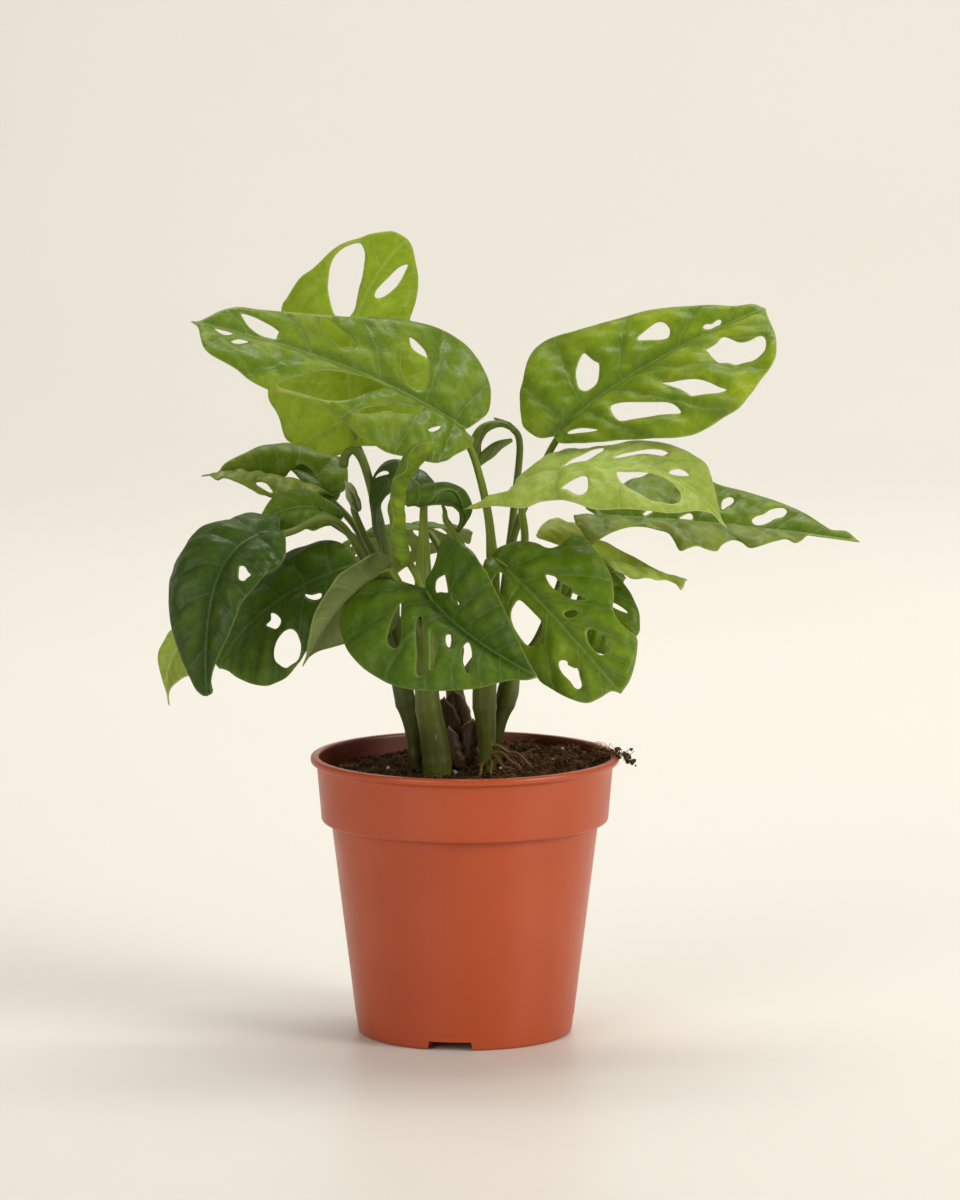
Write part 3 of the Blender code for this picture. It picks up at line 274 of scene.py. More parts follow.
# Shoots: a cane with its leaf stalks, each from the cane's point of that number to its blade.
shootSpecs = [
    dict(node="shoot_left", look="pale", radii=(5.4, 6.1, 5.6, 4.9, 4.4, 3.8, 2.4),
         cane=[(-10.3, -6, 78), (-10.9, -6, 109), (-14.4, -6, 131), (-15, -4, 154), (-16, 0, 180),
               (-16, 4, 190)],
         stalks=[("leaf_front", 3, [(-15, -10, 162), (-15, -17, 171)]),
                 ("leaf_centre_upright", 3, [(-17, -9, 167), (-18, -15, 180)]),
                 ("leaf_centre_left", 3, [(-19, -10, 166), (-24, -15, 176)]),
                 ("leaf_centre_back", 5, [(-16, 9, 201)])]),
    dict(node="shoot_back_left", look="dark", radii=(2.2, 2.3, 2.7, 4.2, 4.2, 3.2),
         cane=[(-17, 7, 78), (-20.2, 9, 115), (-24.2, 12, 133), (-28, 18, 160)],
         stalks=[("leaf_left_front", 2, [(-32, 17, 165), (-44, 14, 192), (-54, 4, 201), (-66, -3, 197)]),
                 ("leaf_left_middle", 2, [(-31, 10, 158), (-39, 8, 177)]),
                 ("leaf_left_low", 2, [(-38, 24, 150), (-59, 34, 161), (-82, 37, 163)]),
                 ("leaf_left_back", 3, [(-34, 32, 175), (-43, 46, 192)]),
                 ("leaf_left_small", 3, [(-34, 23, 176), (-43, 25, 190)]),
                 ("leaf_rolled", 3, [(-33, 27, 178), (-40, 31, 192)]),
                 ("leaf_top_back", 3, [(-31, 30, 186), (-38, 40, 214)])],
         hook=[(-34, 32, 196), (-37.5, 33, 212), (-40.5, 33.5, 221), (-44, 33, 224.5), (-46.8, 33, 222),
               (-47.6, 33, 218)]),
    dict(node="shoot_right", look="pale", radii=(2.3, 2.6, 3.6, 4.9, 4.6, 3.8, 2.6),
         cane=[(9, -4, 78), (8.7, -4, 112), (7.6, -3, 134), (9.5, 0, 158), (11, 2, 183)],
         stalks=[("leaf_top_left", 4, [(9, 2, 203), (4, 0, 224)]),
                 ("leaf_front_right", 3, [(10, -2, 172), (9, -6, 181)]),
                 ("leaf_centre_curled", 3, [(4, 3, 175), (-2, 5, 192)]),
                 ("leaf_right_pale", 3, [(16, 3, 168), (23, 2, 190), (22, -8, 206)])],
         roots=[[(9, -5, 113), (13, -7, 113.5), (17, -7, 111), (21, -9, 110.5), (27, -8, 104)],
                [(9, -6, 110), (14, -8, 111), (18, -11, 108), (21, -10, 106), (24, -13, 101)],
                [(9, -5, 109), (12, -7, 109.5), (15, -11, 106), (19, -12, 105), (21, -15, 100)],
                [(9, -4, 109), (10.5, -9, 107), (10, -12, 104), (11.5, -14, 98)],
                [(8, -5, 107), (6.5, -8, 106), (6, -11, 103), (4, -12, 98)]]),
    dict(node="shoot_back_right", look="dark", radii=(1.8, 1.9, 2.1, 3.3, 4.5, 3.0),
         cane=[(10.5, 6, 78), (12.2, 8, 115), (16.6, 10, 131), (19, 12, 145)],
         stalks=[("leaf_top_right", 3, [(15, 14, 163), (19, 17, 192), (31, 10, 222)]),
                 ("leaf_far_right", 3, [(27, 18, 147), (37, 28, 160), (46, 36, 185)]),
                 ("leaf_right_narrow", 3, [(27, 12, 150), (36, 8, 172)]),
                 ("leaf_right_behind", 3, [(30, 18, 151), (38, 25, 172)]),
                 ("leaf_top_curl", 3, [(15.5, 20, 165), (19, 28, 200), (21.5, 31, 226)])]),
    dict(node="shoot_rear", look="dark", radii=(2.8, 3.2, 3.9, 3.6, 2.4),
         cane=[(0, 16, 78), (-1, 16, 115), (-4, 20, 131), (-3, 32, 150)],
         stalks=[("leaf_rear_left", 3, [(-6, 44, 172), (-12, 56, 186)]),
                 ("leaf_rear_right", 2, [(10, 36, 150), (24, 50, 170)])]),
]


def unit(vector):
    return vector / np.linalg.norm(vector, axis=-1, keepdims=True)


def triple(value):
    return np.array(value, dtype=float)


def smoothStep(low, high, value):
    share = np.clip((value - low) / (high - low), 0.0, 1.0)
    return share * share * (3 - 2 * share)


def pieceName(node):
    words = node.split("_")
    return words[0] + "".join(word.capitalize() for word in words[1:])


def midribPoint(leaf, x):
    base, mid, tip = triple(leaf["base"]), triple(leaf["mid"]), triple(leaf["tip"])
    s = np.clip(x, 0.0, 1.0)[..., None]
    return base * (1 - s) * (1 - 2 * s) + mid * 4 * s * (1 - s) + tip * s * (2 * s - 1)


def midribRun(leaf, x):
    base, mid, tip = triple(leaf["base"]), triple(leaf["mid"]), triple(leaf["tip"])
    s = np.clip(x, 0.0, 1.0)[..., None]
    return base * (4 * s - 3) + mid * (4 - 8 * s) + tip * (4 * s - 1)


def bladeAxes(leaf, x):
    along = unit(midribRun(leaf, x))
    across = triple(leaf["left"]) - triple(leaf["right"])
    side = unit(across - (along * across).sum(-1, keepdims=True) * along)
    return along, side, np.cross(along, side)


def bladeLength(leaf):
    path = midribPoint(leaf, np.linspace(0.0, 1.0, 41))
    return float(np.linalg.norm(np.diff(path, axis=0), axis=1).sum())


def halfReach(leaf, edge):
    place = np.array([leaf["wide"][edge == "right"]])
    reach = triple(leaf[edge]) - midribPoint(leaf, place)[0]
    return [float(reach @ axis[0]) for axis in bladeAxes(leaf, place)]


def bladePoint(leaf, x, v):
    x, v = np.asarray(x, float), np.asarray(v, float)
    along, side, up = bladeAxes(leaf, x)
    left, right = halfReach(leaf, "left"), halfReach(leaf, "right")
    isLeft = (v >= 0)[..., None]
    a, b, c = (np.where(isLeft, p, q) for p, q in zip(left, right))
    reach = a * along + b * side + c * up
    faceUp = unit(np.cross(along, reach)) * np.where(isLeft, 1.0, -1.0)
    bow = np.where(v >= 0, leaf["bow"][0], leaf["bow"][1])
    share = np.abs(v)
    turn = 6 * math.pi * x + np.where(v >= 0, 0.0, 1.9)
    lift = 4 * bow * share * (1 - share) + leaf["wave"] * share ** 2 * np.sin(turn)
    beyond = np.minimum(x, 0.0) + np.maximum(x - 1.0, 0.0)
    point = midribPoint(leaf, x) + beyond[..., None] * bladeLength(leaf) * along
    point = point + share[..., None] * reach + lift[..., None] * faceUp
    return point - (leaf["hook"] * np.clip(x, 0, 1) ** 4)[..., None] * up


def bezier(p, t):
    a, b, c, d = (np.array(q, float) for q in p)
    t = t[:, None]
    return a * (1 - t) ** 3 + 3 * b * t * (1 - t) ** 2 + 3 * c * t ** 2 * (1 - t) + d * t ** 3


def evenly(points, step):
    # The same line with its points a step apart.
    gaps = np.linalg.norm(np.diff(points, axis=0), axis=1)
    far = np.concatenate([[0.0], np.cumsum(gaps)])
    count = max(4, int(round(far[-1] / step)))
    spots = np.linspace(0.0, far[-1], count + 1)
    return np.stack([np.interp(spots, far, points[:, k]) for k in range(points.shape[1])], 1)


def places(text):
    # The pairs of a text such as "463,431 469,434".
    return [tuple(float(part) for part in pair.split(",")) for pair in text.split()]


def smoothPiece(a, b, c, d, count):
    # A smooth line from b toward c, led by a and d.
    t = np.linspace(0.0, 1.0, count, endpoint=False)[:, None]
    return 0.5 * (2 * b + (c - a) * t + (2 * a - 5 * b + 4 * c - d) * t ** 2
                  + (3 * b - 3 * c + d - a) * t ** 3)


def curved(points, step, closed=False):
    # A smooth line through the points, cut into even steps.
    points = np.array(points, float)
    if closed:
        points = np.vstack([points, points[:1]])
        before, after = points[-2], points[1]
    else:
        before, after = 2 * points[0] - points[1], 2 * points[-1] - points[-2]
    p = np.vstack([before, points, after])
    out = [smoothPiece(a, b, c, d, 8) for a, b, c, d in zip(p[:-3], p[1:-2], p[2:-1], p[3:])]
    line = evenly(np.vstack(out + [points[-1:]]), step)
    return line[:-1] if closed else line


def smoothPath(points, step):
    # A smooth line through the points, each stretch cut into steps of its own.
    p = np.array(points, float)
    p = np.vstack([2 * p[0] - p[1], p, 2 * p[-1] - p[-2]])
    out = [smoothPiece(a, b, c, d, max(1, int(round(np.linalg.norm(c - b) / step))))
           for a, b, c, d in zip(p[:-3], p[1:-2], p[2:-1], p[3:])]
    return np.vstack(out + [p[-2][None]])


bladeMesh = {"edgeStep": 1.3, "holeStep": 1.1, "faceStep": 1.55, "ribRows": (0.75, 1.8), "dripTip": 3.2,
             "thickness": 0.46, "edgeThickness": 0.24, "thinBand": 2.2, "quilt": 1.15, "veinDent": 0.2,
             "ripple": 0.55, "veinWidth": 1.1, "midribWidth": 2.4, "midribDent": 0.45, "midribRidge": 0.75,
             "edgeWander": 0.35}


def halfOutline(shape, wide, length, width):
    lobe, full = shape
    t = np.linspace(0.0, 1.0, 80)
    roundLobe = bezier([(0, 0), (-0.17 * lobe, 0.20), (0.3 * wide - 0.21 * lobe, 1.0), (wide, 1.0)], t)
    shoulder = wide + (1 - wide) * (0.45 + 0.45 * full)
    toTip = bezier([(wide, 1.0), (shoulder, 1.0), (0.76 + 0.24 * full, 0.22 + 0.45 * full), (1.0, 0.0)], t)
    line = np.vstack([roundLobe, toTip[1:]]) * (length, width)
    drip = bladeMesh["dripTip"] * min(1.0, length / 60)
    keep = line[:, 0] < length - 0.35 * drip
    keep |= np.arange(len(line)) < len(line) // 2
    return np.vstack([line[keep], [(length + 0.35 * drip, 0.35)], [(length + drip, 0.0)]])


def pictureReach():
    # Picture pixels of a place one unit aside and one unit away.
    return stage["lens"] / stage["sensor"] * stage["picture"][1]


def seenFrom(points):
    # Photo pixels of places in millimetres, through the stage's camera.
    tilt = math.radians(stage["down"])
    away = points * mm - triple(stage["camera"])
    depth = away[..., 1] * math.cos(tilt) - away[..., 2] * math.sin(tilt)
    rise = away[..., 1] * math.sin(tilt) + away[..., 2] * math.cos(tilt)
    middleX, middleY = (size / 2 for size in stage["picture"])
    reach = pictureReach()
    return np.stack([middleX + reach * away[..., 0] / depth, middleY - reach * rise / depth], -1)


# The search for a picture place on a blade, in shares of its length and half width, and how far
# edges and holes keep from the midrib: edgeAside and holeAside are shares, and edgeGap is a length.
seenSearch = {"along": (-0.4, 1.12), "aside": 1.35, "grid": (96, 80), "toEdge": 4, "probe": 0.002,
              "rounds": 14, "damping": 30.0, "stride": 0.04, "alongLimits": (-0.45, 1.15), "asideSlack": 0.1,
              "edgeAside": 0.02, "holeAside": 0.035, "edgeGap": 0.25, "startLimits": (-0.01, 0.03)}


def seenPlace(leaf, text, side):
    # Shares of the length and half width where the blade shows at each picture place.
    find, spots = seenSearch, np.array(places(text))
    given = np.abs(spots).max(1) < 3
    low, high = (0.0 if side > 0 else -find["aside"]), (0.0 if side < 0 else find["aside"])
    alongs, asides = np.linspace(*find["along"], find["grid"][0]), np.linspace(low, high, find["grid"][1])
    gridX, gridV = (share.ravel() for share in np.meshgrid(alongs, asides))
    grid = seenFrom(bladePoint(leaf, gridX, gridV))
    gaps = ((spots[:, None] - grid) ** 2).sum(-1)
    if side:
        gaps = gaps + (find["toEdge"] * (np.abs(gridV) - 1)) ** 2
    best = gaps.argmin(1)
    place = np.stack([gridX[best], gridV[best]], 1)
    probe, slack = find["probe"], find["asideSlack"]
    for _ in range(find["rounds"]):
        here = seenFrom(bladePoint(leaf, place[:, 0], place[:, 1]))
        slopes = np.stack([(seenFrom(bladePoint(leaf, place[:, 0] + a, place[:, 1] + b)) - here) / probe
                           for a, b in ((probe, 0.0), (0.0, probe))], -1)
        flipped = np.swapaxes(slopes, 1, 2)
        square = flipped @ slopes + find["damping"] * np.eye(2)
        step = np.linalg.solve(square, flipped @ (spots - here)[..., None])[..., 0]
        place = place + np.clip(step, -find["stride"], find["stride"])
        place[:, 0] = np.clip(place[:, 0], *find["alongLimits"])
        place[:, 1] = np.clip(place[:, 1], low - slack * (low < 0), high + slack * (high > 0))
    place[given] = spots[given] * (1, side or 1)
    return place


def awayFrom(values, side, least):
    # The values kept at least so far from the midrib, on the given side of it.
    return side * np.maximum(side * values, least)


def seenPlan(leaf, seen, length, widths):
    step = min(bladeMesh["edgeStep"], length / 14)
    halves = []
    for side, edge, width in zip((1, -1), ("left", "right"), widths):
        place = seenPlace(leaf, seen[edge], side)
        place[1:-1, 1] = awayFrom(place[1:-1, 1], side, seenSearch["edgeAside"])
        halves.append(place * (length, width))
    lowest, highest = (share * length for share in seenSearch["startLimits"])
    start = float(np.clip((halves[0][0, 0] + halves[1][0, 0]) / 2, lowest, highest))
    end = (halves[0][-1, 0] + halves[1][-1, 0]) / 2
    lines = []
    for side, half in zip((1, -1), halves):
        half[0], half[-1] = (start, 0.0), (end, 0.0)
        line = curved(half, step)
        line[1:-1, 1] = awayFrom(line[1:-1, 1], side, seenSearch["edgeGap"])
        lines.append(line)
    edge = np.vstack([lines[0], lines[1][::-1][1:-1]])
    holes = []
    for cut in seen["cuts"]:
        place = seenPlace(leaf, cut, 0)
        side = 1 if np.median(place[:, 1]) > 0 else -1
        place[:, 1] = awayFrom(place[:, 1], side, seenSearch["holeAside"])
        loop = place * (length, widths[0] if side > 0 else widths[1])
        holes.append(curved(loop, bladeMesh["holeStep"], True))
    return edge, holes


def leafPlan(leaf, seed):
    # Flat plan of the blade: its edge and its holes, in millimetres.
    length = bladeLength(leaf)
    widths = [float(np.linalg.norm(halfReach(leaf, edge))) for edge in ("left", "right")]
    if leaf["node"] in seenShapes and "part" not in leaf:
        return (length, widths, *seenPlan(leaf, seenShapes[leaf["node"]], length, widths))
    step = min(bladeMesh["edgeStep"], length / 12)
    left, right = (evenly(halfOutline(shape, wide, length, width), step)
                   for shape, wide, width in zip(leaf["shape"], leaf["wide"], widths))
    edge = np.vstack([left, (right * (1, -1))[::-1][1:-1]])
    wander = bladeMesh["edgeWander"] * min(1.0, length / 50)
    phase = seed * 1.7 + edge[:, 0] * 0.31 + np.sign(edge[:, 1]) * 2.0
    inner = smoothStep(0.0, 8.0, np.abs(edge[:, 1]))
    torn = leaf.get("ragged", 0) * np.sin(1.9 * edge[:, 0] + seed) * np.sin(4.3 * edge[:, 0] + 1)
    edge[:, 1] += np.sign(edge[:, 1]) * smoothStep(0.0, 3.0, np.abs(edge[:, 1])) * torn * 0.5
    edge[:, 1] += np.sign(edge[:, 1]) * inner * wander * (np.sin(phase) + 0.5 * np.sin(2.3 * phase + seed))
    holes = []
    for sign, width, rows in zip((1, -1), widths, leaf.get("holes", ([], []))):
        for number, (x, v, longWay, shortWay, slant) in enumerate(rows):
            steps = max(14, int(round(math.pi * (longWay + shortWay) / 2 / bladeMesh["holeStep"])))
            angle = np.linspace(0.0, 2 * math.pi, steps, endpoint=False)
            slope = math.radians(slant)
            egg = 0.18 * math.sin(seed + number * 2.1)
            u = np.cos(angle) * longWay / 2
            w = np.sin(angle) * shortWay / 2 * (1 + egg * np.cos(angle) + 0.06 * np.sin(3 * angle + number))
            px = x * length + u * math.cos(slope) - w * math.sin(slope)
            py = sign * (v * width + u * math.sin(slope) + w * math.cos(slope))
            holes.append(np.stack([px, py], 1))
    return length, widths, edge, holes


def inside(points, loop):
    x, y = points[:, 0][:, None], points[:, 1][:, None]
    x0, y0 = loop[:, 0], loop[:, 1]
    x1, y1 = np.roll(x0, -1), np.roll(y0, -1)
    crosses = (y0 > y) != (y1 > y)
    rise = np.where(y1 == y0, 1.0, y1 - y0)
    return (crosses & (x < (x1 - x0) * (y - y0) / rise + x0)).sum(1) % 2 == 1


def loopGap(points, loop):
    # Distance from each point to the nearest place on a closed loop.
    ends = np.roll(loop, -1, axis=0)
    run = ends - loop
    nearest = np.full(len(points), 1e9)
    for first in range(0, len(points), 1500):
        part = points[first:first + 1500]
        share = ((part[:, None] - loop) * run).sum(-1) / np.maximum((run ** 2).sum(-1), 1e-12)
        near = loop + np.clip(share, 0, 1)[..., None] * run
        nearest[first:first + 1500] = np.linalg.norm(part[:, None] - near, axis=-1).min(1)
    return nearest


veinField = {"baseLean": -0.25, "leanRise": 1.9, "lowLean": -0.7, "highLean": 1.15, "bend": (0.75, 0.5),
             "spacing": 0.14, "merge": 0.07, "lowest": -0.45, "highest": 1.1, "plain": (0.3, 0.47)}


def veinStart(length, width, px, py):
    # Where on the midrib, as a share of the length, the side vein through a point starts.
    across = np.abs(py)
    bend = veinField["bend"][0] + veinField["bend"][1] * np.clip(across / width, 0, 1.2)
    s = px / length
    for _ in range(30):
        lean = veinField["baseLean"] + veinField["leanRise"] * s
        lean = np.clip(lean, veinField["lowLean"], veinField["highLean"])
        s = 0.4 * s + 0.6 * (px - across * lean * bend) / length
    return s


def sideVeins(holes, side, length, width):
    # The side veins of one half keep midway between its holes.
    middles = [hole.mean(0) for hole in holes]
    spots = sorted(float(veinStart(length, width, middle[:1], middle[1:])[0])
                   for middle in middles if (middle[1] < 0) == (side == 1))
    kept = []
    for spot in spots:
        if kept and spot - kept[-1] < veinField["merge"]:
            kept[-1] = (kept[-1] + spot) / 2
        else:
            kept.append(spot)
    if not kept:
        kept = [share + 0.05 * side for share in veinField["plain"]]
    half = veinField["spacing"] / 2
    starts = [kept[0] - half] + [(a + b) / 2 for a, b in zip(kept[:-1], kept[1:])] + [kept[-1] + half]
    full = [starts[0]]
    for a, b in zip(starts[:-1], starts[1:]):
        parts = max(1, int(round((b - a) / (1.35 * veinField["spacing"]))))
        full += [a + (b - a) * (k + 1) / parts for k in range(parts)]
    while full[0] > veinField["lowest"]:
        full.insert(0, full[0] - veinField["spacing"])
    while full[-1] < veinField["highest"]:
        full.append(full[-1] + veinField["spacing"] * 0.85)
    return np.array(full)


def planTriangles(leaf, seed):
    length, widths, edge, holes = leafPlan(leaf, seed)
    step = min(bladeMesh["faceStep"], length / 14)
    tipIndex = int(np.argmin(np.where(np.abs(edge[:, 1]) < 1e-9, -edge[:, 0], 1e9)))
    ribs = np.arange(edge[0, 0] + step, edge[tipIndex, 0] - 0.6 * step, step * 0.8)
    midrib = np.stack([ribs, np.zeros_like(ribs)], 1)
    besides = []
    for shift in bladeMesh["ribRows"]:
        for sign in (-1, 1):
            besides.append(np.stack([ribs[1:-2] + 0.3 * step, np.full(len(ribs) - 3, sign * shift)], 1))
    low, high = edge.min(0), edge.max(0)
    rows = np.arange(low[1], high[1], step * 0.866)
    grid = np.array([(x + (i % 2) * step / 2, y) for i, y in enumerate(rows)
                     for x in np.arange(low[0], high[0], step)])
    grid = grid[np.abs(grid[:, 1]) > bladeMesh["ribRows"][-1] + 0.5 * step]
    free = np.vstack(besides + [grid])
    keep = inside(free, edge) & (loopGap(free, edge) > 0.45 * step)
    for hole in holes:
        keep &= ~inside(free, hole) & (loopGap(free, hole) > 0.4 * step)
    free = free[keep]
    loops = [edge] + holes
    points = np.vstack(loops + [midrib, free])
    borders, start = [], 0
    for loop in loops:
        borders += [(start + i, start + (i + 1) % len(loop)) for i in range(len(loop))]
        start += len(loop)
    spine = [0] + list(range(start, start + len(midrib))) + [tipIndex]
    lines = borders + list(zip(spine[:-1], spine[1:]))
    flat, _, faces, *_ = delaunay_2d_cdt([Vector(p) for p in points], lines, [], 0, 1e-5)
    flat = np.array([tuple(p) for p in flat])
    faces = np.array([tuple(f) for f in faces if len(f) == 3])
    middles = flat[faces].mean(1)
    kept = inside(middles, edge)
    for hole in holes:
        kept &= ~inside(middles, hole)
    used, faces = np.unique(faces[kept], return_inverse=True)
    flat = flat[used]
    gap = loopGap(flat, edge)
    for hole in holes:
        gap = np.minimum(gap, loopGap(flat, hole))
    return flat, faces.reshape(-1, 3), length, widths, gap, holes


def vertexNormals(points, faces):
    corners = points[faces]
    normals = np.cross(corners[:, 1] - corners[:, 0], corners[:, 2] - corners[:, 0])
    out = np.zeros_like(points)
    for corner in range(3):
        np.add.at(out, faces[:, corner], normals)
    return unit(out)


def addObject(name, data):
    piece = bpy.data.objects.new(name, data)
    bpy.context.scene.collection.objects.link(piece)
    return piece


def addMesh(name, points, faces, material, smooth=True):
    mesh = bpy.data.meshes.new(name)
    mesh.from_pydata((np.asarray(points) * mm).tolist(), [], [list(map(int, f)) for f in faces])
    mesh.materials.append(material)
    mesh.validate()
    if smooth:
        mesh.shade_smooth()
    return addObject(name, mesh)


def addUv(mesh, name, values):
    # values holds one pair for each face corner.
    layer = mesh.uv_layers.new(name=name)
    layer.data.foreach_set("uv", np.asarray(values, np.float32).ravel())


def addValue(mesh, name, values):
    layer = mesh.attributes.new(name, "FLOAT", "POINT")
    layer.data.foreach_set("value", np.asarray(values, np.float32))


def cornerPoints(mesh):
    # The vertex at each face corner.
    corners = np.zeros(len(mesh.loops), np.int32)
    mesh.loops.foreach_get("vertex_index", corners)
    return corners


def applied(piece):
    # The piece with its modifiers made part of one plain mesh.
    graph = bpy.context.evaluated_depsgraph_get()
    mesh = bpy.data.meshes.new_from_object(piece.evaluated_get(graph))
    piece.modifiers.clear()
    piece.data = mesh
    return piece


def spokes(side, run, angle):
    # The side direction carried along a path, and unit spokes round the path from it.
    side = unit(side - (side @ run) * run)
    return side, np.cos(angle)[:, None] * side + np.sin(angle)[:, None] * np.cross(run, side)


def standFor(piece, node):
    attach(piece, "root")
    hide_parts(node)
    return piece


def makeLeaf(leaf, seed, material):
    flat, faces, length, widths, gap, holes = planTriangles(leaf, seed)
    size = min(1.0, length / 70)
    width = np.where(flat[:, 1] >= 0, widths[0], widths[1])
    share = flat[:, 1] / width
    middle = bladePoint(leaf, flat[:, 0] / length, share)
    up = vertexNormals(middle, faces)
    starts = [sideVeins(holes, side, length, widths[side]) for side in (0, 1)]
    sideShare = [veinStart(length, widths[side], flat[:, 0], flat[:, 1]) for side in (0, 1)]
    counts = [np.interp(sideShare[side], starts[side], np.arange(len(starts[side]))) for side in (0, 1)]
    spacings = [np.interp(sideShare[side], (starts[side][1:] + starts[side][:-1]) / 2,
                          np.diff(starts[side])) * length * 0.8 for side in (0, 1)]
    isLeft = flat[:, 1] >= 0
    count = np.where(isLeft, counts[0], counts[1])
    spacing = np.where(isLeft, spacings[0], spacings[1])
    between = np.abs(count - np.round(count)) * 2
    across = np.abs(flat[:, 1])
    room = smoothStep(1.0, 6.0, across) * smoothStep(0.0, 5.0, gap)
    quilt = bladeMesh["quilt"] * size * np.sin(between * math.pi / 2) ** 0.8 * room
    dent = bladeMesh["veinDent"] * np.exp(-(between * spacing / 2 / bladeMesh["veinWidth"]) ** 2) * room
    along = np.clip(flat[:, 0] / length, 0, 1)
    fade = (1 - 0.75 * along) * size
    rib = np.exp(-(across / bladeMesh["veinWidth"]) ** 2) * fade * smoothStep(-2.0, 2.0, flat[:, 0])
    phase = seed * 1.3 + flat @ np.array([0.24, 0.33])
    ripple = np.sin(phase) * np.sin(0.41 * flat[:, 0] - 0.23 * flat[:, 1] + seed)
    ripple = ripple + 0.5 * np.sin(2.1 * phase + 1)
    swell = smoothStep(0.0, 6.0, across) * smoothStep(0.0, 2.5, gap)
    quilt = quilt + bladeMesh["ripple"] * size * ripple * swell
    trough = bladeMesh["midribDent"] * np.exp(-(across / bladeMesh["midribWidth"]) ** 2) * fade
    middle = middle + up * (quilt - trough)[:, None]
    up = vertexNormals(middle, faces)
    thin = smoothStep(0.0, bladeMesh["thinBand"], gap)
    half = (bladeMesh["edgeThickness"] + (bladeMesh["thickness"] - bladeMesh["edgeThickness"]) * thin) / 2
    top = middle + up * (half - dent)[:, None]
    low = middle - up * (half + dent + bladeMesh["midribRidge"] * rib)[:, None]
    total = len(middle)
    sides = {(a, b) for face in faces for a, b in zip(face, np.roll(face, -1))}
    rim = sorted((a, b) for a, b in sides if (b, a) not in sides)
    solid = [tuple(f) for f in faces] + [tuple(f[::-1] + total) for f in faces]
    solid += [(b, a, a + total, b + total) for a, b in rim]
    piece = addMesh(pieceName(leaf["node"]) + leaf.get("part", ""), np.vstack([top, low]), solid, material)
    mesh = piece.data
    corners = cornerPoints(mesh)
    onLow = corners >= total
    corner = np.where(onLow, corners - total, corners)
    triples = np.repeat(flat[faces][:, :, 1].mean(1) >= 0, 3)
    cornerLeft = np.concatenate([triples, triples, flat[corner[2 * len(triples):], 1] >= 0])
    cornerCount = np.where(cornerLeft, counts[0][corner], counts[1][corner])
    cornerSpacing = np.where(cornerLeft, spacings[0][corner], spacings[1][corner])
    addUv(mesh, "plan", flat[corner] / 100)
    addUv(mesh, "veins", np.stack([cornerCount, cornerSpacing / 100], 1))
    addValue(mesh, "edgeGap", np.tile(gap, 2))
    addValue(mesh, "along", np.tile(along, 2))
    addValue(mesh, "under", np.repeat([0.0, 1.0], total))
    return standFor(piece, leaf["node"])


rollForm = {"step": 1.3, "around": 30, "turns": 1.22, "shrink": 0.2, "thickness": 0.45, "startAngle": 0.6,
            "lap": 0.09, "wrinkle": 0.05, "leastRadius": 0.5}


def seenAt(px, py, depth):
    # The place in millimetres behind a photo pixel, at a given distance along y.
    tilt = math.radians(stage["down"])
    a = (px - stage["picture"][0] / 2) / pictureReach()
    b = (stage["picture"][1] / 2 - py) / pictureReach()
    ray = np.array([a, b * math.sin(tilt) + math.cos(tilt), b * math.cos(tilt) - math.sin(tilt)])
    eye = triple(stage["camera"])
    return (eye + ray * (depth * mm - eye[1]) / ray[1]) / mm


def makeRoll(leaf, number, steps, material):
    # A young blade still rolled up: a sheet wound into a spiral round a bent line.
    line = np.array([[*seenAt(*step[:3]), step[3]] for step in steps])
    line = curved(line, rollForm["step"])
    path, radii = line[:, :3], np.maximum(line[:, 3], rollForm["leastRadius"])
    run = unit(np.gradient(path, axis=0))
    share = np.linspace(0.0, 1.0, rollForm["around"])
    side = unit(np.cross(run[0], (0.2, 1.0, 0.15)))
    outer, inner = [], []
    for index, centre in enumerate(path):
        lap = rollForm["lap"] * math.sin(0.35 * index + number)
        angle = rollForm["startAngle"] + 2 * math.pi * (rollForm["turns"] + lap) * share
        side, spoke = spokes(side, run[index], angle)
        wall = min(rollForm["thickness"], 0.35 * radii[index])
        wrinkle = 1 + rollForm["wrinkle"] * math.sin(0.9 * index) * np.sin(3 * angle + index * 0.2)
        reach = radii[index] * (1 - rollForm["shrink"] * (1 - share)) * wrinkle
        outer.append(centre + reach[:, None] * spoke)
        inner.append(centre + (reach - wall)[:, None] * spoke)
    rows, cols = len(path), rollForm["around"]
    total = rows * cols
    points = np.vstack(outer + inner)
    faces = []
    for i in range(rows - 1):
        for j in range(cols - 1):
            a, b = i * cols + j, (i + 1) * cols + j
            faces += [(a, a + 1, b + 1, b), (total + a, total + b, total + b + 1, total + a + 1)]
        for j in (0, cols - 1):
            a, b = i * cols + j, (i + 1) * cols + j
            faces.append((a, b, total + b, total + a))
    for i in (0, rows - 1):
        for j in range(cols - 1):
            a = i * cols + j
            faces.append((a, a + 1, total + a + 1, total + a))
    name = pieceName(leaf["node"]) + ("Fold" if number else "")
    piece = recalculated(addMesh(name, points, faces, material))
    mesh = piece.data
    corners = cornerPoints(mesh)
    row, col = (corners % total) // cols, corners % cols
    addUv(mesh, "plan", np.stack([row * rollForm["step"] / 100, (col - cols * 0.3) * 0.006], 1))
    addUv(mesh, "veins", np.stack([row * 0.16 + col * 0.05, np.full(len(row), 0.07)], 1))
    rowShare = np.arange(rows) / rows
    gap = np.minimum(np.arange(cols), np.arange(cols)[::-1]) * 0.8
    addValue(mesh, "edgeGap", np.tile(np.tile(gap, rows), 2))
    addValue(mesh, "along", np.tile(np.repeat(1 - rowShare, cols), 2))
    addValue(mesh, "under", np.repeat([0.0, 1.0], total))
    return standFor(piece, leaf["node"])


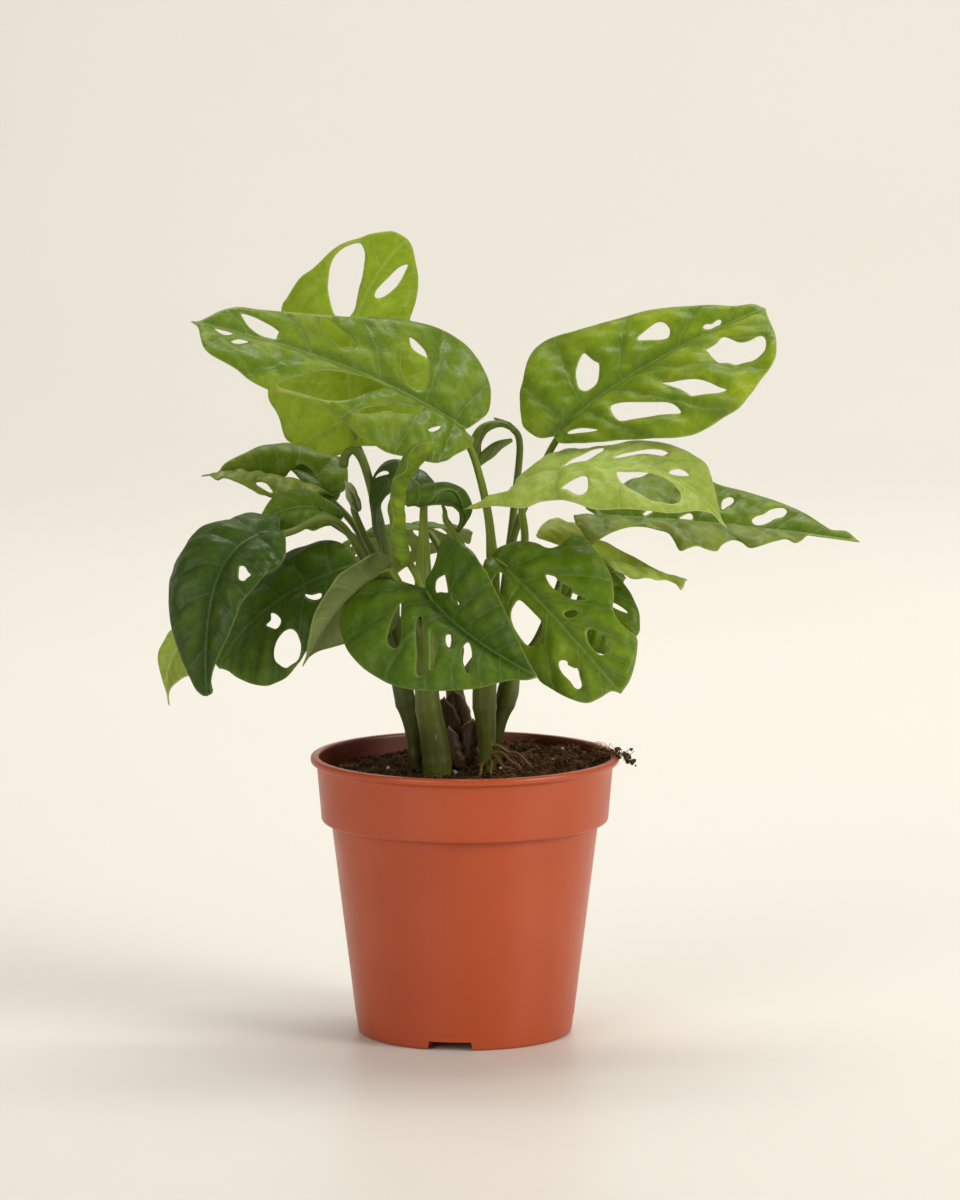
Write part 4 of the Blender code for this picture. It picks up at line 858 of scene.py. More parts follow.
# Node helpers
def feed(tree, node, values):
    # Numbers and colours go into the node's inputs, and another node's output is linked to them.
    for name, value in values.items():
        socket = node.inputs[name]
        if isinstance(value, bpy.types.NodeSocket):
            tree.links.new(value, socket)
        elif value is not None:
            socket.default_value = (*value, 1.0) if socket.type == "RGBA" else value


def addNode(tree, kind, place, inputs=None, **settings):
    node = tree.nodes.new(kind)
    node.location = place
    for name, value in settings.items():
        setattr(node, name, value)
    feed(tree, node, inputs or {})
    return node


def mathNode(tree, operation, first, second=None, place=(0, 0), clamp=False):
    node = addNode(tree, "ShaderNodeMath", place, {0: first, 1: second}, operation=operation, use_clamp=clamp)
    return node.outputs[0]


def times(tree, first, second, place=(0, 0), clamp=False):
    return mathNode(tree, "MULTIPLY", first, second, place, clamp)


def larger(tree, first, second):
    return mathNode(tree, "MAXIMUM", first, second)


def plus(tree, first, second, place=(0, 0)):
    return mathNode(tree, "ADD", first, second, place)


def rangeNode(tree, value, low, high, toLow, toHigh, place=(0, 0)):
    values = {"Value": value, "From Min": low, "From Max": high, "To Min": toLow, "To Max": toHigh}
    node = addNode(tree, "ShaderNodeMapRange", place, values, interpolation_type="SMOOTHSTEP")
    return node.outputs["Result"]


def mixNode(tree, factor, first, second, place=(0, 0), blend="MIX"):
    node = addNode(tree, "ShaderNodeMix", place, data_type="RGBA", blend_type=blend)
    used = [number for number, socket in enumerate(node.inputs) if socket.enabled]
    feed(tree, node, dict(zip(used, (factor, first, second))))
    return next(socket for socket in node.outputs if socket.enabled)


def noiseNode(tree, vector, scale, detail=3.0, roughness=0.5, place=(0, 0)):
    values = {"Vector": vector, "Scale": scale, "Detail": detail, "Roughness": roughness}
    return addNode(tree, "ShaderNodeTexNoise", place, values).outputs["Fac"]


def newGroup(name, inputs, outputs):
    group = bpy.data.node_groups.new(name, "ShaderNodeTree")
    for label, kind, value in inputs:
        socket = group.interface.new_socket(label, in_out="INPUT", socket_type=kind)
        socket.default_value = (*value, 1.0) if isinstance(value, tuple) else value
    for label, kind in outputs:
        group.interface.new_socket(label, in_out="OUTPUT", socket_type=kind)
    start = addNode(group, "NodeGroupInput", (-1600, 0))
    end = addNode(group, "NodeGroupOutput", (1200, 0))
    return group, start.outputs, end.inputs


def stretched(tree, vector, scale, place=(0, 0)):
    return addNode(tree, "ShaderNodeMapping", place, {"Vector": vector, "Scale": scale}).outputs["Vector"]


def makeLeafSkin():
    # Blade colour from the veins: dark and sheeny by each vein, yellower between them. The dark by each vein
    # and along the midrib is partly the leaf's deeper green and partly painted shade of the sunken vein
    # troughs.
    colour, value = "NodeSocketColor", "NodeSocketFloat"
    group, given, out = newGroup("leafSkin", [
        ("Blade", colour, (0.1, 0.2, 0.03)), ("Between Veins", colour, (0.2, 0.3, 0.04)),
        ("Vein Green And Shade", colour, (0.06, 0.14, 0.03)), ("Vein Line", colour, (0.3, 0.4, 0.12)),
        ("Underside", colour, (0.15, 0.2, 0.08)), ("Edge", colour, (0.3, 0.35, 0.1)),
        ("Half Tint", colour, (0.3, 0.35, 0.05)), ("Left Amount", value, 0.0), ("Right Amount", value, 0.0),
        ("Tip Amount", value, 0.0), ("Line Strength", value, 0.5), ("Mottle", value, 0.5)],
        [("Colour", colour), ("Glow", colour), ("Roughness", value), ("Height", value)])
    plan = addNode(group, "ShaderNodeUVMap", (-1600, -400), uv_map="plan").outputs["UV"]
    veins = addNode(group, "ShaderNodeUVMap", (-1600, -600), uv_map="veins").outputs["UV"]
    plan = addNode(group, "ShaderNodeVectorMath", (-1400, -400), {0: plan, "Scale": 100.0}, operation="SCALE")
    plan = plan.outputs[0]  # now in millimetres
    aside = addNode(group, "ShaderNodeSeparateXYZ", (-1200, -400), {0: plan}).outputs[1]
    veinCount, veinGap, _ = addNode(group, "ShaderNodeSeparateXYZ", (-1400, -600), {0: veins}).outputs
    warp = noiseNode(group, plan, 0.16, 2.0, 0.5, (-1200, -700))
    shift = times(group, mathNode(group, "SUBTRACT", warp, 0.5), 0.16)
    count = plus(group, veinCount, shift, (-1000, -600))
    near = mathNode(group, "PINGPONG", count, 0.5, (-900, -600))
    spacing = times(group, veinGap, 100.0, (-1000, -760))
    gap = times(group, near, spacing, (-760, -600))
    across = mathNode(group, "ABSOLUTE", aside, None, (-1000, -400))
    line = rangeNode(group, gap, 0.10, 0.55, 1.0, 0.0, (-560, -560))
    zone = rangeNode(group, gap, 0.3, 3.6, 1.0, 0.0, (-560, -760))
    ribLine = rangeNode(group, across, 0.30, 0.85, 1.0, 0.0, (-560, -300))
    ribZone = rangeNode(group, across, 0.8, 5.0, 1.0, 0.0, (-560, -440))
    bent = addNode(group, "ShaderNodeVectorMath", (-960, -960), {0: plan, 1: warp}, operation="ADD")
    cells = addNode(group, "ShaderNodeTexVoronoi", (-760, -960), {"Vector": bent.outputs[0], "Scale": 0.36},
                    feature="DISTANCE_TO_EDGE")
    net = rangeNode(group, cells.outputs["Distance"], 0.01, 0.10, 1.0, 0.0, (-560, -960))
    place = addNode(group, "ShaderNodeTexCoord", (-1600, 300)).outputs["Object"]
    blotch = noiseNode(group, place, 55.0, 3.0, 0.55, (-1200, 300))
    fine = noiseNode(group, place, 380.0, 4.0, 0.6, (-1200, 100))
    edgeGap, under, along = (
        addNode(group, "ShaderNodeAttribute", (-1600, height), attribute_name=name).outputs["Fac"]
        for name, height in (("edgeGap", 600), ("under", 800), ("along", 1000)))
    mottle = times(group, rangeNode(group, blotch, 0.38, 0.66, 0.0, 1.0), given["Mottle"])
    outward = rangeNode(group, along, 0.1, 0.9, 0.35, 1.0)
    amount = times(group, mottle, outward, clamp=True)
    body = mixNode(group, amount, given["Blade"], given["Between Veins"], (-200, 200))
    isLeft = rangeNode(group, aside, -0.6, 0.6, given["Right Amount"], given["Left Amount"])
    patchy = rangeNode(group, noiseNode(group, place, 120.0, 3.0, 0.6), 0.3, 0.6, 0.55, 1.0)
    atTip = times(group, rangeNode(group, along, 0.45, 1.0, 0.0, 1.0), given["Tip Amount"])
    tint = times(group, larger(group, isLeft, atTip), patchy, clamp=True)
    body = mixNode(group, tint, body, given["Half Tint"], (-100, 300))
    # Darker by the side veins and the midrib: partly the leaf's deeper green, partly painted shade in the
    # sunken troughs.
    dark = larger(group, times(group, zone, 0.55), times(group, ribZone, 0.75))
    body = mixNode(group, dark, body, given["Vein Green And Shade"], (0, 200))
    thin = larger(group, ribLine, times(group, line, 0.6))
    thin = times(group, thin, given["Line Strength"])
    body = mixNode(group, thin, body, given["Vein Line"], (200, 200))
    # The fine vein net darkens too, partly its own green and partly painted shade in its dents.
    body = mixNode(group, times(group, net, 0.13), body, given["Vein Green And Shade"], (300, 100))
    speck = rangeNode(group, fine, 0.3, 0.7, 0.88, 1.12)
    grey = addNode(group, "ShaderNodeCombineXYZ", (300, -100), {axis: speck for axis in range(3)}).outputs[0]
    body = mixNode(group, 1.0, body, grey, (400, 200), "MULTIPLY")
    lower = mixNode(group, times(group, larger(group, ribLine, line), 0.5),
                    given["Underside"], given["Vein Line"], (400, -100))
    body = mixNode(group, under, body, lower, (600, 200))
    rim = rangeNode(group, edgeGap, 0.15, 0.75, 0.75, 0.0)
    body = mixNode(group, rim, body, given["Edge"], (800, 200))
    group.links.new(body, out["Colour"])
    glow = mixNode(group, 0.75, body, given["Between Veins"], (900, 0))
    group.links.new(glow, out["Glow"])
    rough = rangeNode(group, blotch, 0.3, 0.7, 0.34, 0.5)
    rough = plus(group, rough, times(group, under, 0.15))
    group.links.new(rough, out["Roughness"])
    dents = times(group, larger(group, line, ribLine), -0.5)
    dents = plus(group, dents, times(group, net, -0.28))
    dents = plus(group, dents, times(group, fine, 0.35))
    group.links.new(dents, out["Height"])
    return group


def newMaterial(name):
    material = bpy.data.materials.new(name)
    material.use_nodes = True
    tree = material.node_tree
    shader = tree.nodes["Principled BSDF"]
    output = tree.nodes["Material Output"]
    shader.location = (300, 0)
    output.location = (900, 0)
    return material, tree, shader, output


def addGroup(tree, group, values):
    return addNode(tree, "ShaderNodeGroup", (-500, 0), values, node_tree=group).outputs


def addBump(tree, height, shader, distance, strength=1.0):
    values = {"Height": height, "Distance": distance, "Strength": strength}
    normal = addNode(tree, "ShaderNodeBump", (0, -300), values).outputs["Normal"]
    feed(tree, shader, {"Normal": normal})
    return normal


# by is the darker green by the veins, partly the leaf's own and partly painted shade in the vein troughs.
leafLooks = {
    "fresh": dict(blade=(0.165, 0.265, 0.012), between=(0.33, 0.44, 0.020), by=(0.095, 0.185, 0.014),
                  line=(0.36, 0.46, 0.10), under=(0.27, 0.35, 0.07), edge=(0.36, 0.44, 0.08),
                  strength=0.42, mottle=0.75, through=0.34),
    "meadow": dict(blade=(0.205, 0.325, 0.014), between=(0.46, 0.57, 0.022), by=(0.115, 0.220, 0.018),
                   line=(0.40, 0.50, 0.14), under=(0.30, 0.38, 0.08), edge=(0.46, 0.55, 0.12),
                   strength=0.42, mottle=0.9, through=0.40),
    "bright": dict(blade=(0.36, 0.51, 0.032), between=(0.57, 0.67, 0.085), by=(0.28, 0.44, 0.022),
                   line=(0.55, 0.62, 0.20), under=(0.38, 0.46, 0.06), edge=(0.58, 0.64, 0.20),
                   strength=0.45, mottle=0.7, through=0.55),
    "pale": dict(blade=(0.45, 0.585, 0.105), between=(0.60, 0.69, 0.17), by=(0.34, 0.49, 0.06),
                 line=(0.68, 0.72, 0.34), under=(0.48, 0.52, 0.18), edge=(0.68, 0.70, 0.34),
                 strength=0.5, mottle=0.6, through=0.45),
    "leafy": dict(blade=(0.130, 0.240, 0.006), between=(0.26, 0.37, 0.008), by=(0.085, 0.175, 0.006),
                  line=(0.30, 0.40, 0.08), under=(0.24, 0.30, 0.05), edge=(0.33, 0.41, 0.08),
                  strength=0.42, mottle=0.75, through=0.32),
    "deep": dict(blade=(0.080, 0.164, 0.006), between=(0.160, 0.260, 0.007), by=(0.053, 0.120, 0.006),
                 line=(0.20, 0.30, 0.07), under=(0.19, 0.23, 0.06), edge=(0.20, 0.29, 0.05),
                 strength=0.5, mottle=0.7, through=0.26),
    "dark": dict(blade=(0.044, 0.094, 0.003), between=(0.082, 0.145, 0.004), by=(0.028, 0.066, 0.004),
                 line=(0.10, 0.17, 0.05), under=(0.14, 0.17, 0.05), edge=(0.15, 0.21, 0.05),
                 strength=0.45, mottle=0.7, through=0.2),
    "dusky": dict(blade=(0.26, 0.34, 0.055), between=(0.33, 0.41, 0.07), by=(0.19, 0.27, 0.045),
                  line=(0.30, 0.36, 0.11), under=(0.22, 0.27, 0.085), edge=(0.30, 0.35, 0.12),
                  strength=0.4, mottle=0.6, through=0.25),
    "silver": dict(blade=(0.40, 0.46, 0.22), between=(0.46, 0.50, 0.26), by=(0.32, 0.38, 0.16),
                   line=(0.55, 0.60, 0.36), under=(0.42, 0.47, 0.26), edge=(0.50, 0.54, 0.30),
                   strength=0.4, mottle=0.4, through=0.3),
    "dry": dict(blade=(0.095, 0.048, 0.018), between=(0.22, 0.125, 0.050), by=(0.036, 0.018, 0.007),
                line=(0.24, 0.13, 0.055), under=(0.070, 0.034, 0.014), edge=(0.34, 0.20, 0.085),
                strength=0.3, mottle=0.9, through=0.15),
}


plainTint = ((0.3, 0.35, 0.05), 0.0, 0.0, 0.0)


def makeLeafMaterial(name, look, tint, skin):
    material, tree, shader, output = newMaterial(name)
    outputs = addGroup(tree, skin, {
        "Blade": look["blade"], "Between Veins": look["between"], "Vein Green And Shade": look["by"],
        "Vein Line": look["line"], "Underside": look["under"], "Edge": look["edge"],
        "Half Tint": tint[0], "Left Amount": tint[1], "Right Amount": tint[2], "Tip Amount": tint[3],
        "Line Strength": look["strength"], "Mottle": look["mottle"]})
    feed(tree, shader, {"Base Color": outputs["Colour"], "Roughness": outputs["Roughness"],
                        "Specular IOR Level": 0.32})
    normal = addBump(tree, outputs["Height"], shader, 0.00016)
    through = addNode(tree, "ShaderNodeBsdfTranslucent", (300, -500),
                      {"Color": outputs["Glow"], "Normal": normal})
    mixed = addNode(tree, "ShaderNodeMixShader", (650, 0),
                    {"Fac": look["through"], 1: shader.outputs[0], 2: through.outputs[0]})
    feed(tree, output, {"Surface": mixed.outputs[0]})
    return material


def makeLeaves():
    skin = makeLeafSkin()
    for number, leaf in enumerate(leafSpecs):
        material = makeLeafMaterial(pieceName(leaf["node"]) + leaf.get("part", "") + "Skin",
                                    leafLooks[leaf["look"]], leaf.get("tint", plainTint), skin)
        if "rolls" in leaf:
            for index, steps in enumerate(leaf["rolls"]):
                makeRoll(leaf, index, steps, material)
        else:
            makeLeaf(leaf, number + 1, material)
    print("leaves made:", len(leafSpecs))


# Stalks
stalkForm = {"sides": 20, "caneSides": 28, "step": 1.6, "radius": 2.1, "tipRadius": 1.3, "gap": 0.3,
             "tipInset": 1.2, "bladeThickness": 0.75, "groove": 0.09, "ringGap": 21.0, "ringRise": 0.35,
             "firstRing": 8.0, "ringWidth": 1.5, "betweenRings": 0.97, "grooveWidth": 0.45,
             "ends": ((0.55, 0.35), (0.3, 0.75)),
             "footSwell": 0.22, "underBlade": ((4.5, 0.75), (9.0, 0.3)), "tailLength": 8.5,
             "tailShare": 0.28, "wobble": 0.01, "caneWobble": 0.012, "hookRadii": (1.5, 1.9), "rootSides": 12,
             "rootRadius": 0.85, "rootTip": 0.28, "rootStep": 0.8, "rootWobble": 0.06}


def stalkEnd(leaf):
    along, _, up = bladeAxes(leaf, np.array([0.0]))
    drop = stalkForm["bladeThickness"] / 2 + stalkForm["tipRadius"] + stalkForm["gap"]
    return triple(leaf["base"]) + along[0] * stalkForm["tipInset"] - up[0] * drop


def tubePiece(name, path, radii, sides, material, groove=0.0, wobble=0.0, seed=0):
    # A closed tube with rounded ends and a UV map of its length and turn.
    run = unit(np.gradient(path, axis=0))
    spots = [(0, -ahead, swell) for ahead, swell in stalkForm["ends"]]
    spots += [(i, 0.0, 1.0) for i in range(len(path))]
    spots += [(len(path) - 1, ahead, swell) for ahead, swell in stalkForm["ends"][::-1]]
    side = unit(np.cross(run[0], (0.3, 1.0, 0.1)))
    angle = 2 * math.pi * np.arange(sides) / sides
    rings, lengths, far = [], [], 0.0
    last = path[0]
    for index, ahead, swell in spots:
        centre = path[index] + run[index] * radii[index] * ahead
        far += float(np.linalg.norm(centre - last))
        last = centre
        side, spoke = spokes(side, run[index], angle)
        girth = 1 - groove * np.exp(-((angle - math.pi) / stalkForm["grooveWidth"]) ** 2)
        girth = girth + wobble * np.sin(3 * angle + 0.09 * far + seed)
        girth = girth + wobble * np.sin(2 * angle - 0.05 * far)
        rings.append(centre + radii[index] * swell * girth[:, None] * spoke)
        lengths.append(far)
    count = len(rings)
    faces, uv = [tuple(range(sides))[::-1]], [(lengths[0] / 100, 0.0)] * sides
    faces.append(tuple(range((count - 1) * sides, count * sides)))
    uv += [(lengths[-1] / 100, 0.0)] * sides
    for ring in range(count - 1):
        for i in range(sides):
            j = (i + 1) % sides
            a, b = ring * sides, (ring + 1) * sides
            faces.append((a + i, a + j, b + j, b + i))
            low, high = lengths[ring] / 100, lengths[ring + 1] / 100
            uv += [(low, i / sides), (low, (i + 1) / sides), (high, (i + 1) / sides), (high, i / sides)]
    piece = addMesh(name, np.vstack(rings), faces, material)
    addUv(piece.data, "run", uv)
    return piece


def fuse(piece, others):
    # One Boolean union with a collection, applied, after which the collection's objects go.
    helpers = bpy.data.collections.new(piece.name + "Parts")
    bpy.context.scene.collection.children.link(helpers)
    for other in others:
        bpy.context.scene.collection.objects.unlink(other)
        helpers.objects.link(other)
    union = piece.modifiers.new("fuse", "BOOLEAN")
    union.operation = "UNION"
    union.solver = "EXACT"
    union.operand_type = "COLLECTION"
    union.collection = helpers
    applied(piece)
    for other in others:
        bpy.data.objects.remove(other)
    bpy.data.collections.remove(helpers)
    return piece


def caneRadii(path, given):
    radii = np.interp(np.linspace(0, 1, len(path)), np.linspace(0, 1, len(given)), given)
    far = np.concatenate([[0.0], np.cumsum(np.linalg.norm(np.diff(path, axis=0), axis=1))])
    offset = (far - stalkForm["firstRing"]) / stalkForm["ringGap"]
    fromRing = (offset - np.round(offset)) * stalkForm["ringGap"]
    ring = stalkForm["ringRise"] * np.exp(-(fromRing / stalkForm["ringWidth"]) ** 2)
    return radii * stalkForm["betweenRings"] + ring


def makeStalk(name, leaf, start, via, material, seed):
    # A leaf stalk from its cane, thick at its foot, that runs out thin under the blade.
    along, _, up = bladeAxes(leaf, np.array([0.0]))
    under = [triple(leaf["base"]) + along[0] * far - up[0] * drop for far, drop in stalkForm["underBlade"]]
    route = smoothPath([triple(start), *map(triple, via), stalkEnd(leaf), *under], stalkForm["step"])
    share = np.linspace(0, 1, len(route))
    width = stalkForm["radius"] * (1 - share ** 0.6) + stalkForm["tipRadius"] * share ** 0.6
    width = width * (1 + stalkForm["footSwell"] * np.exp(-((share - 0.05) / 0.10) ** 2))
    toEnd = (len(route) - 1 - np.arange(len(route))) * stalkForm["step"]
    shrink = np.clip(toEnd / stalkForm["tailLength"], 0.0, 1.0)
    width = width * (stalkForm["tailShare"] + (1 - stalkForm["tailShare"]) * shrink)
    return tubePiece(name, route, width, stalkForm["sides"], material, stalkForm["groove"],
                     stalkForm["wobble"], seed)


def makeShoot(shoot, leaves, material, rootMaterial):
    name = pieceName(shoot["node"])
    path = smoothPath(shoot["cane"], stalkForm["step"])
    cane = tubePiece(name, path, caneRadii(path, shoot["radii"]), stalkForm["caneSides"], material, 0.0,
                     stalkForm["caneWobble"], len(name))
    parts = [makeStalk(node + "Stalk", leaves[node], shoot["cane"][number], via, material, index)
             for index, (node, number, via) in enumerate(shoot["stalks"])]
    roots = []
    for index, root in enumerate(shoot.get("roots", [])):
        route = smoothPath(root, stalkForm["rootStep"])
        width = np.linspace(stalkForm["rootRadius"], stalkForm["rootTip"], len(route))
        roots.append(tubePiece(name + "Roots", route, width, stalkForm["rootSides"], rootMaterial, 0.0,
                               stalkForm["rootWobble"], index))
    if "hook" in shoot:
        route = smoothPath(shoot["hook"], stalkForm["step"])
        width = np.linspace(*stalkForm["hookRadii"], len(route))
        parts.append(tubePiece("hook", route, width, stalkForm["sides"], material))
    if roots:
        standFor(fuse(roots[0], roots[1:]), shoot["node"])
    return standFor(fuse(cane, parts), shoot["node"])


def makeStalkSkin():
    colour, value = "NodeSocketColor", "NodeSocketFloat"
    group, given, out = newGroup("stalkSkin", [
        ("Stalk", colour, (0.2, 0.27, 0.06)), ("Pale", colour, (0.36, 0.42, 0.14)),
        ("Foot", colour, (0.08, 0.07, 0.02)), ("Streaks", value, 0.6)],
        [("Colour", colour), ("Roughness", value), ("Height", value)])
    run = addNode(group, "ShaderNodeUVMap", (-1600, -200), uv_map="run").outputs["UV"]
    place = addNode(group, "ShaderNodeTexCoord", (-1600, 200)).outputs["Object"]
    longRun = stretched(group, run, (2.2, 22.0, 1.0), (-1400, -200))
    lines = noiseNode(group, longRun, 1.6, 4.0, 0.55, (-1200, -200))
    tall = stretched(group, place, (1.0, 1.0, 0.25), (-1400, 60))
    grain = noiseNode(group, tall, 900.0, 3.0, 0.6, (-1200, 60))
    blotch = noiseNode(group, place, 70.0, 3.0, 0.6, (-1200, 250))
    height = addNode(group, "ShaderNodeSeparateXYZ", (-1400, 500), {0: place}).outputs[2]
    low = rangeNode(group, height, 0.104, 0.172, 1.0, 0.0, (-1200, 500))
    low = times(group, low, rangeNode(group, blotch, 0.2, 0.55, 0.6, 1.0), (-1000, 500))
    mixed = times(group, rangeNode(group, lines, 0.36, 0.66, 0.0, 1.0), given["Streaks"])
    body = mixNode(group, mixed, given["Stalk"], given["Pale"], (-600, 200))
    body = mixNode(group, times(group, low, 0.92), body, given["Foot"], (-400, 200))
    speck = rangeNode(group, grain, 0.64, 0.74, 0.0, 0.4)
    body = mixNode(group, speck, body, given["Pale"], (-200, 200))
    group.links.new(body, out["Colour"])
    group.links.new(rangeNode(group, blotch, 0.3, 0.7, 0.36, 0.52), out["Roughness"])
    relief = times(group, lines, 0.8)
    relief = plus(group, relief, times(group, grain, 0.3))
    group.links.new(relief, out["Height"])
    return group


stalkLooks = {
    "root": {"Stalk": (0.20, 0.095, 0.030), "Pale": (0.42, 0.27, 0.10), "Foot": (0.11, 0.05, 0.016),
             "Streaks": 0.8},
    "pale": {"Stalk": (0.15, 0.21, 0.010), "Pale": (0.36, 0.43, 0.09), "Foot": (0.046, 0.046, 0.004),
             "Streaks": 0.34},
    "dark": {"Stalk": (0.105, 0.145, 0.008), "Pale": (0.27, 0.33, 0.07), "Foot": (0.032, 0.030, 0.003),
             "Streaks": 0.3},
}


def makeStalkMaterial(name, look, skin):
    material, tree, shader, _ = newMaterial(name)
    outputs = addGroup(tree, skin, look)
    feed(tree, shader, {"Base Color": outputs["Colour"], "Roughness": outputs["Roughness"],
                        "Specular IOR Level": 0.3, "Subsurface Weight": 0.12,
                        "Subsurface Radius": (0.5, 0.8, 0.2), "Subsurface Scale": 0.002})
    addBump(tree, outputs["Height"], shader, 0.00022)
    return material


def makeShoots():
    skin = makeStalkSkin()
    leaves = {leaf["node"]: leaf for leaf in leafSpecs if "part" not in leaf}
    rootMaterial = makeStalkMaterial("rootSkin", stalkLooks["root"], skin)
    for shoot in shootSpecs:
        material = makeStalkMaterial(pieceName(shoot["node"]) + "Skin", stalkLooks[shoot["look"]], skin)
        makeShoot(shoot, leaves, material, rootMaterial)
    print("shoots made:", len(shootSpecs))


# Pot
pot = {"rimRadius": 60.0, "height": 108.9, "footRadius": 41.7, "shoulder": 83.0, "bodyTopRadius": 52.0,
       "bandLowRadius": 55.9, "bandHighRadius": 57.7, "lipHeight": 2.8, "wall": 1.1, "floorWall": 1.2,
       "sides": 192, "drainCount": 3, "drainFirstAngle": -98.0, "drainHeight": 3.5, "innerRadius": 14.0,
       "innerWidth": 9.0, "mouthWidth": 16.5, "draft": 0.3, "holeRadius": 3.5, "holePlace": 27.0,
       "footRing": (6.0, 7.0), "bodyMiddle": 40.0, "sharpAngle": 32}


def outerRadius(height):
    if height < pot["shoulder"]:
        return pot["footRadius"] + (pot["bodyTopRadius"] - pot["footRadius"]) * height / pot["shoulder"]
    rise = (height - pot["shoulder"]) / (pot["height"] - pot["shoulder"])
    return pot["bandLowRadius"] + (pot["bandHighRadius"] - pot["bandLowRadius"]) * min(1.0, rise * 1.1)


def rounded(corners, steps=5):
    # A profile whose corners (radius, height, rounding) become short curves.
    out = []
    count = len(corners)
    for index, (radius, height, bend) in enumerate(corners):
        here = np.array([radius, height])
        if bend == 0 or index in (0, count - 1):
            out.append(tuple(here))
            continue
        before = np.array(corners[index - 1][:2]) - here
        after = np.array(corners[index + 1][:2]) - here
        a = here + before / np.linalg.norm(before) * min(bend, 0.45 * np.linalg.norm(before))
        b = here + after / np.linalg.norm(after) * min(bend, 0.45 * np.linalg.norm(after))
        for t in np.linspace(0, 1, steps):
            out.append(tuple(a * (1 - t) ** 2 + 2 * here * t * (1 - t) + b * t ** 2))
    return out


def potProfile():
    lip, top, step = pot["height"] - pot["lipHeight"], pot["height"], pot["shoulder"]
    wall, middle = pot["wall"], pot["bodyMiddle"]
    ringLow, ringHigh = pot["footRing"]
    outside = [(0, 0, 0), (pot["innerRadius"], 0, 0), (pot["footRadius"] - 0.1, 0, 1.5),
               (outerRadius(ringLow) - 0.02, ringLow, 0.3), (outerRadius(ringHigh) + 0.10, ringHigh, 0.3),
               (outerRadius(middle) + 0.05, middle, 0), (outerRadius(step - 1.2), step - 1.2, 0.7),
               (outerRadius(step - 0.2), step - 0.1, 0.5), (pot["bandLowRadius"] - 0.1, step + 0.5, 1.2),
               (pot["bandLowRadius"] + 0.05, step + 3.0, 0), (outerRadius(lip - 0.9), lip - 0.9, 0.6),
               (pot["bandHighRadius"] + 0.7, lip - 0.1, 0.7), (pot["rimRadius"], lip + 0.3, 0.9),
               (pot["rimRadius"], top, 1.3), (outerRadius(top) - wall + 0.2, top, 0.9)]
    insideWall = [(outerRadius(top) - wall, top - 2.2, 0.8),
                  (outerRadius(step + 2.0) - wall, step + 2.0, 1.0),
                  (outerRadius(step) - wall - 3.4, step, 1.0),
                  (outerRadius(step - 2.2) - wall, step - 2.2, 0.8),
                  (outerRadius(2.4) - wall, 2.4, 1.0), (outerRadius(0.0) - wall - 1.2, pot["floorWall"], 0.5),
                  (pot["innerRadius"], pot["floorWall"], 0), (0, pot["floorWall"], 0)]
    return rounded(outside + insideWall)


def turned(profile, sides):
    points, faces, rings = [], [], []
    for radius, height in profile:
        if radius < 1e-6:
            rings.append([len(points)])
            points.append((0.0, 0.0, height))
            continue
        start = len(points)
        rings.append(list(range(start, start + sides)))
        for angle in (2 * math.pi * i / sides for i in range(sides)):
            points.append((radius * math.cos(angle), radius * math.sin(angle), height))
    for low, high in zip(rings[:-1], rings[1:]):
        for i in range(sides):
            j = (i + 1) % sides
            if len(low) == 1:
                faces.append((low[0], high[j], high[i]))
            elif len(high) == 1:
                faces.append((low[i], low[j], high[0]))
            else:
                faces.append((low[i], low[j], high[j], high[i]))
    return points, faces


def wedge(name, grow, low, high, far, material):
    near = pot["innerRadius"] - grow
    spread = (pot["mouthWidth"] - pot["innerWidth"]) / 2 / (pot["footRadius"] - pot["innerRadius"])
    halves = [pot["innerWidth"] / 2 + grow + spread * (x - pot["innerRadius"]) for x in (near, far)]
    points = []
    for height in (low, high):
        flare = pot["draft"] * (high - height)
        for x, half, sign in ((near, halves[0], -1), (far, halves[1], -1), (far, halves[1], 1),
                              (near, halves[0], 1)):
            points.append((x, sign * (half + flare), height))
    faces = [(3, 2, 1, 0), (4, 5, 6, 7), (0, 1, 5, 4), (1, 2, 6, 5), (2, 3, 7, 6), (3, 0, 4, 7)]
    return addMesh(name, points, faces, material, False)


def recalculated(piece):
    shaped = bmesh.new()
    shaped.from_mesh(piece.data)
    bmesh.ops.recalc_face_normals(shaped, faces=shaped.faces)
    shaped.to_mesh(piece.data)
    shaped.free()
    return piece


def cutWith(piece, cutter, operation):
    cut = piece.modifiers.new("cut", "BOOLEAN")
    cut.operation = operation
    cut.solver = "EXACT"
    cut.object = cutter
    applied(piece)
    bpy.data.objects.remove(cutter)
    return piece


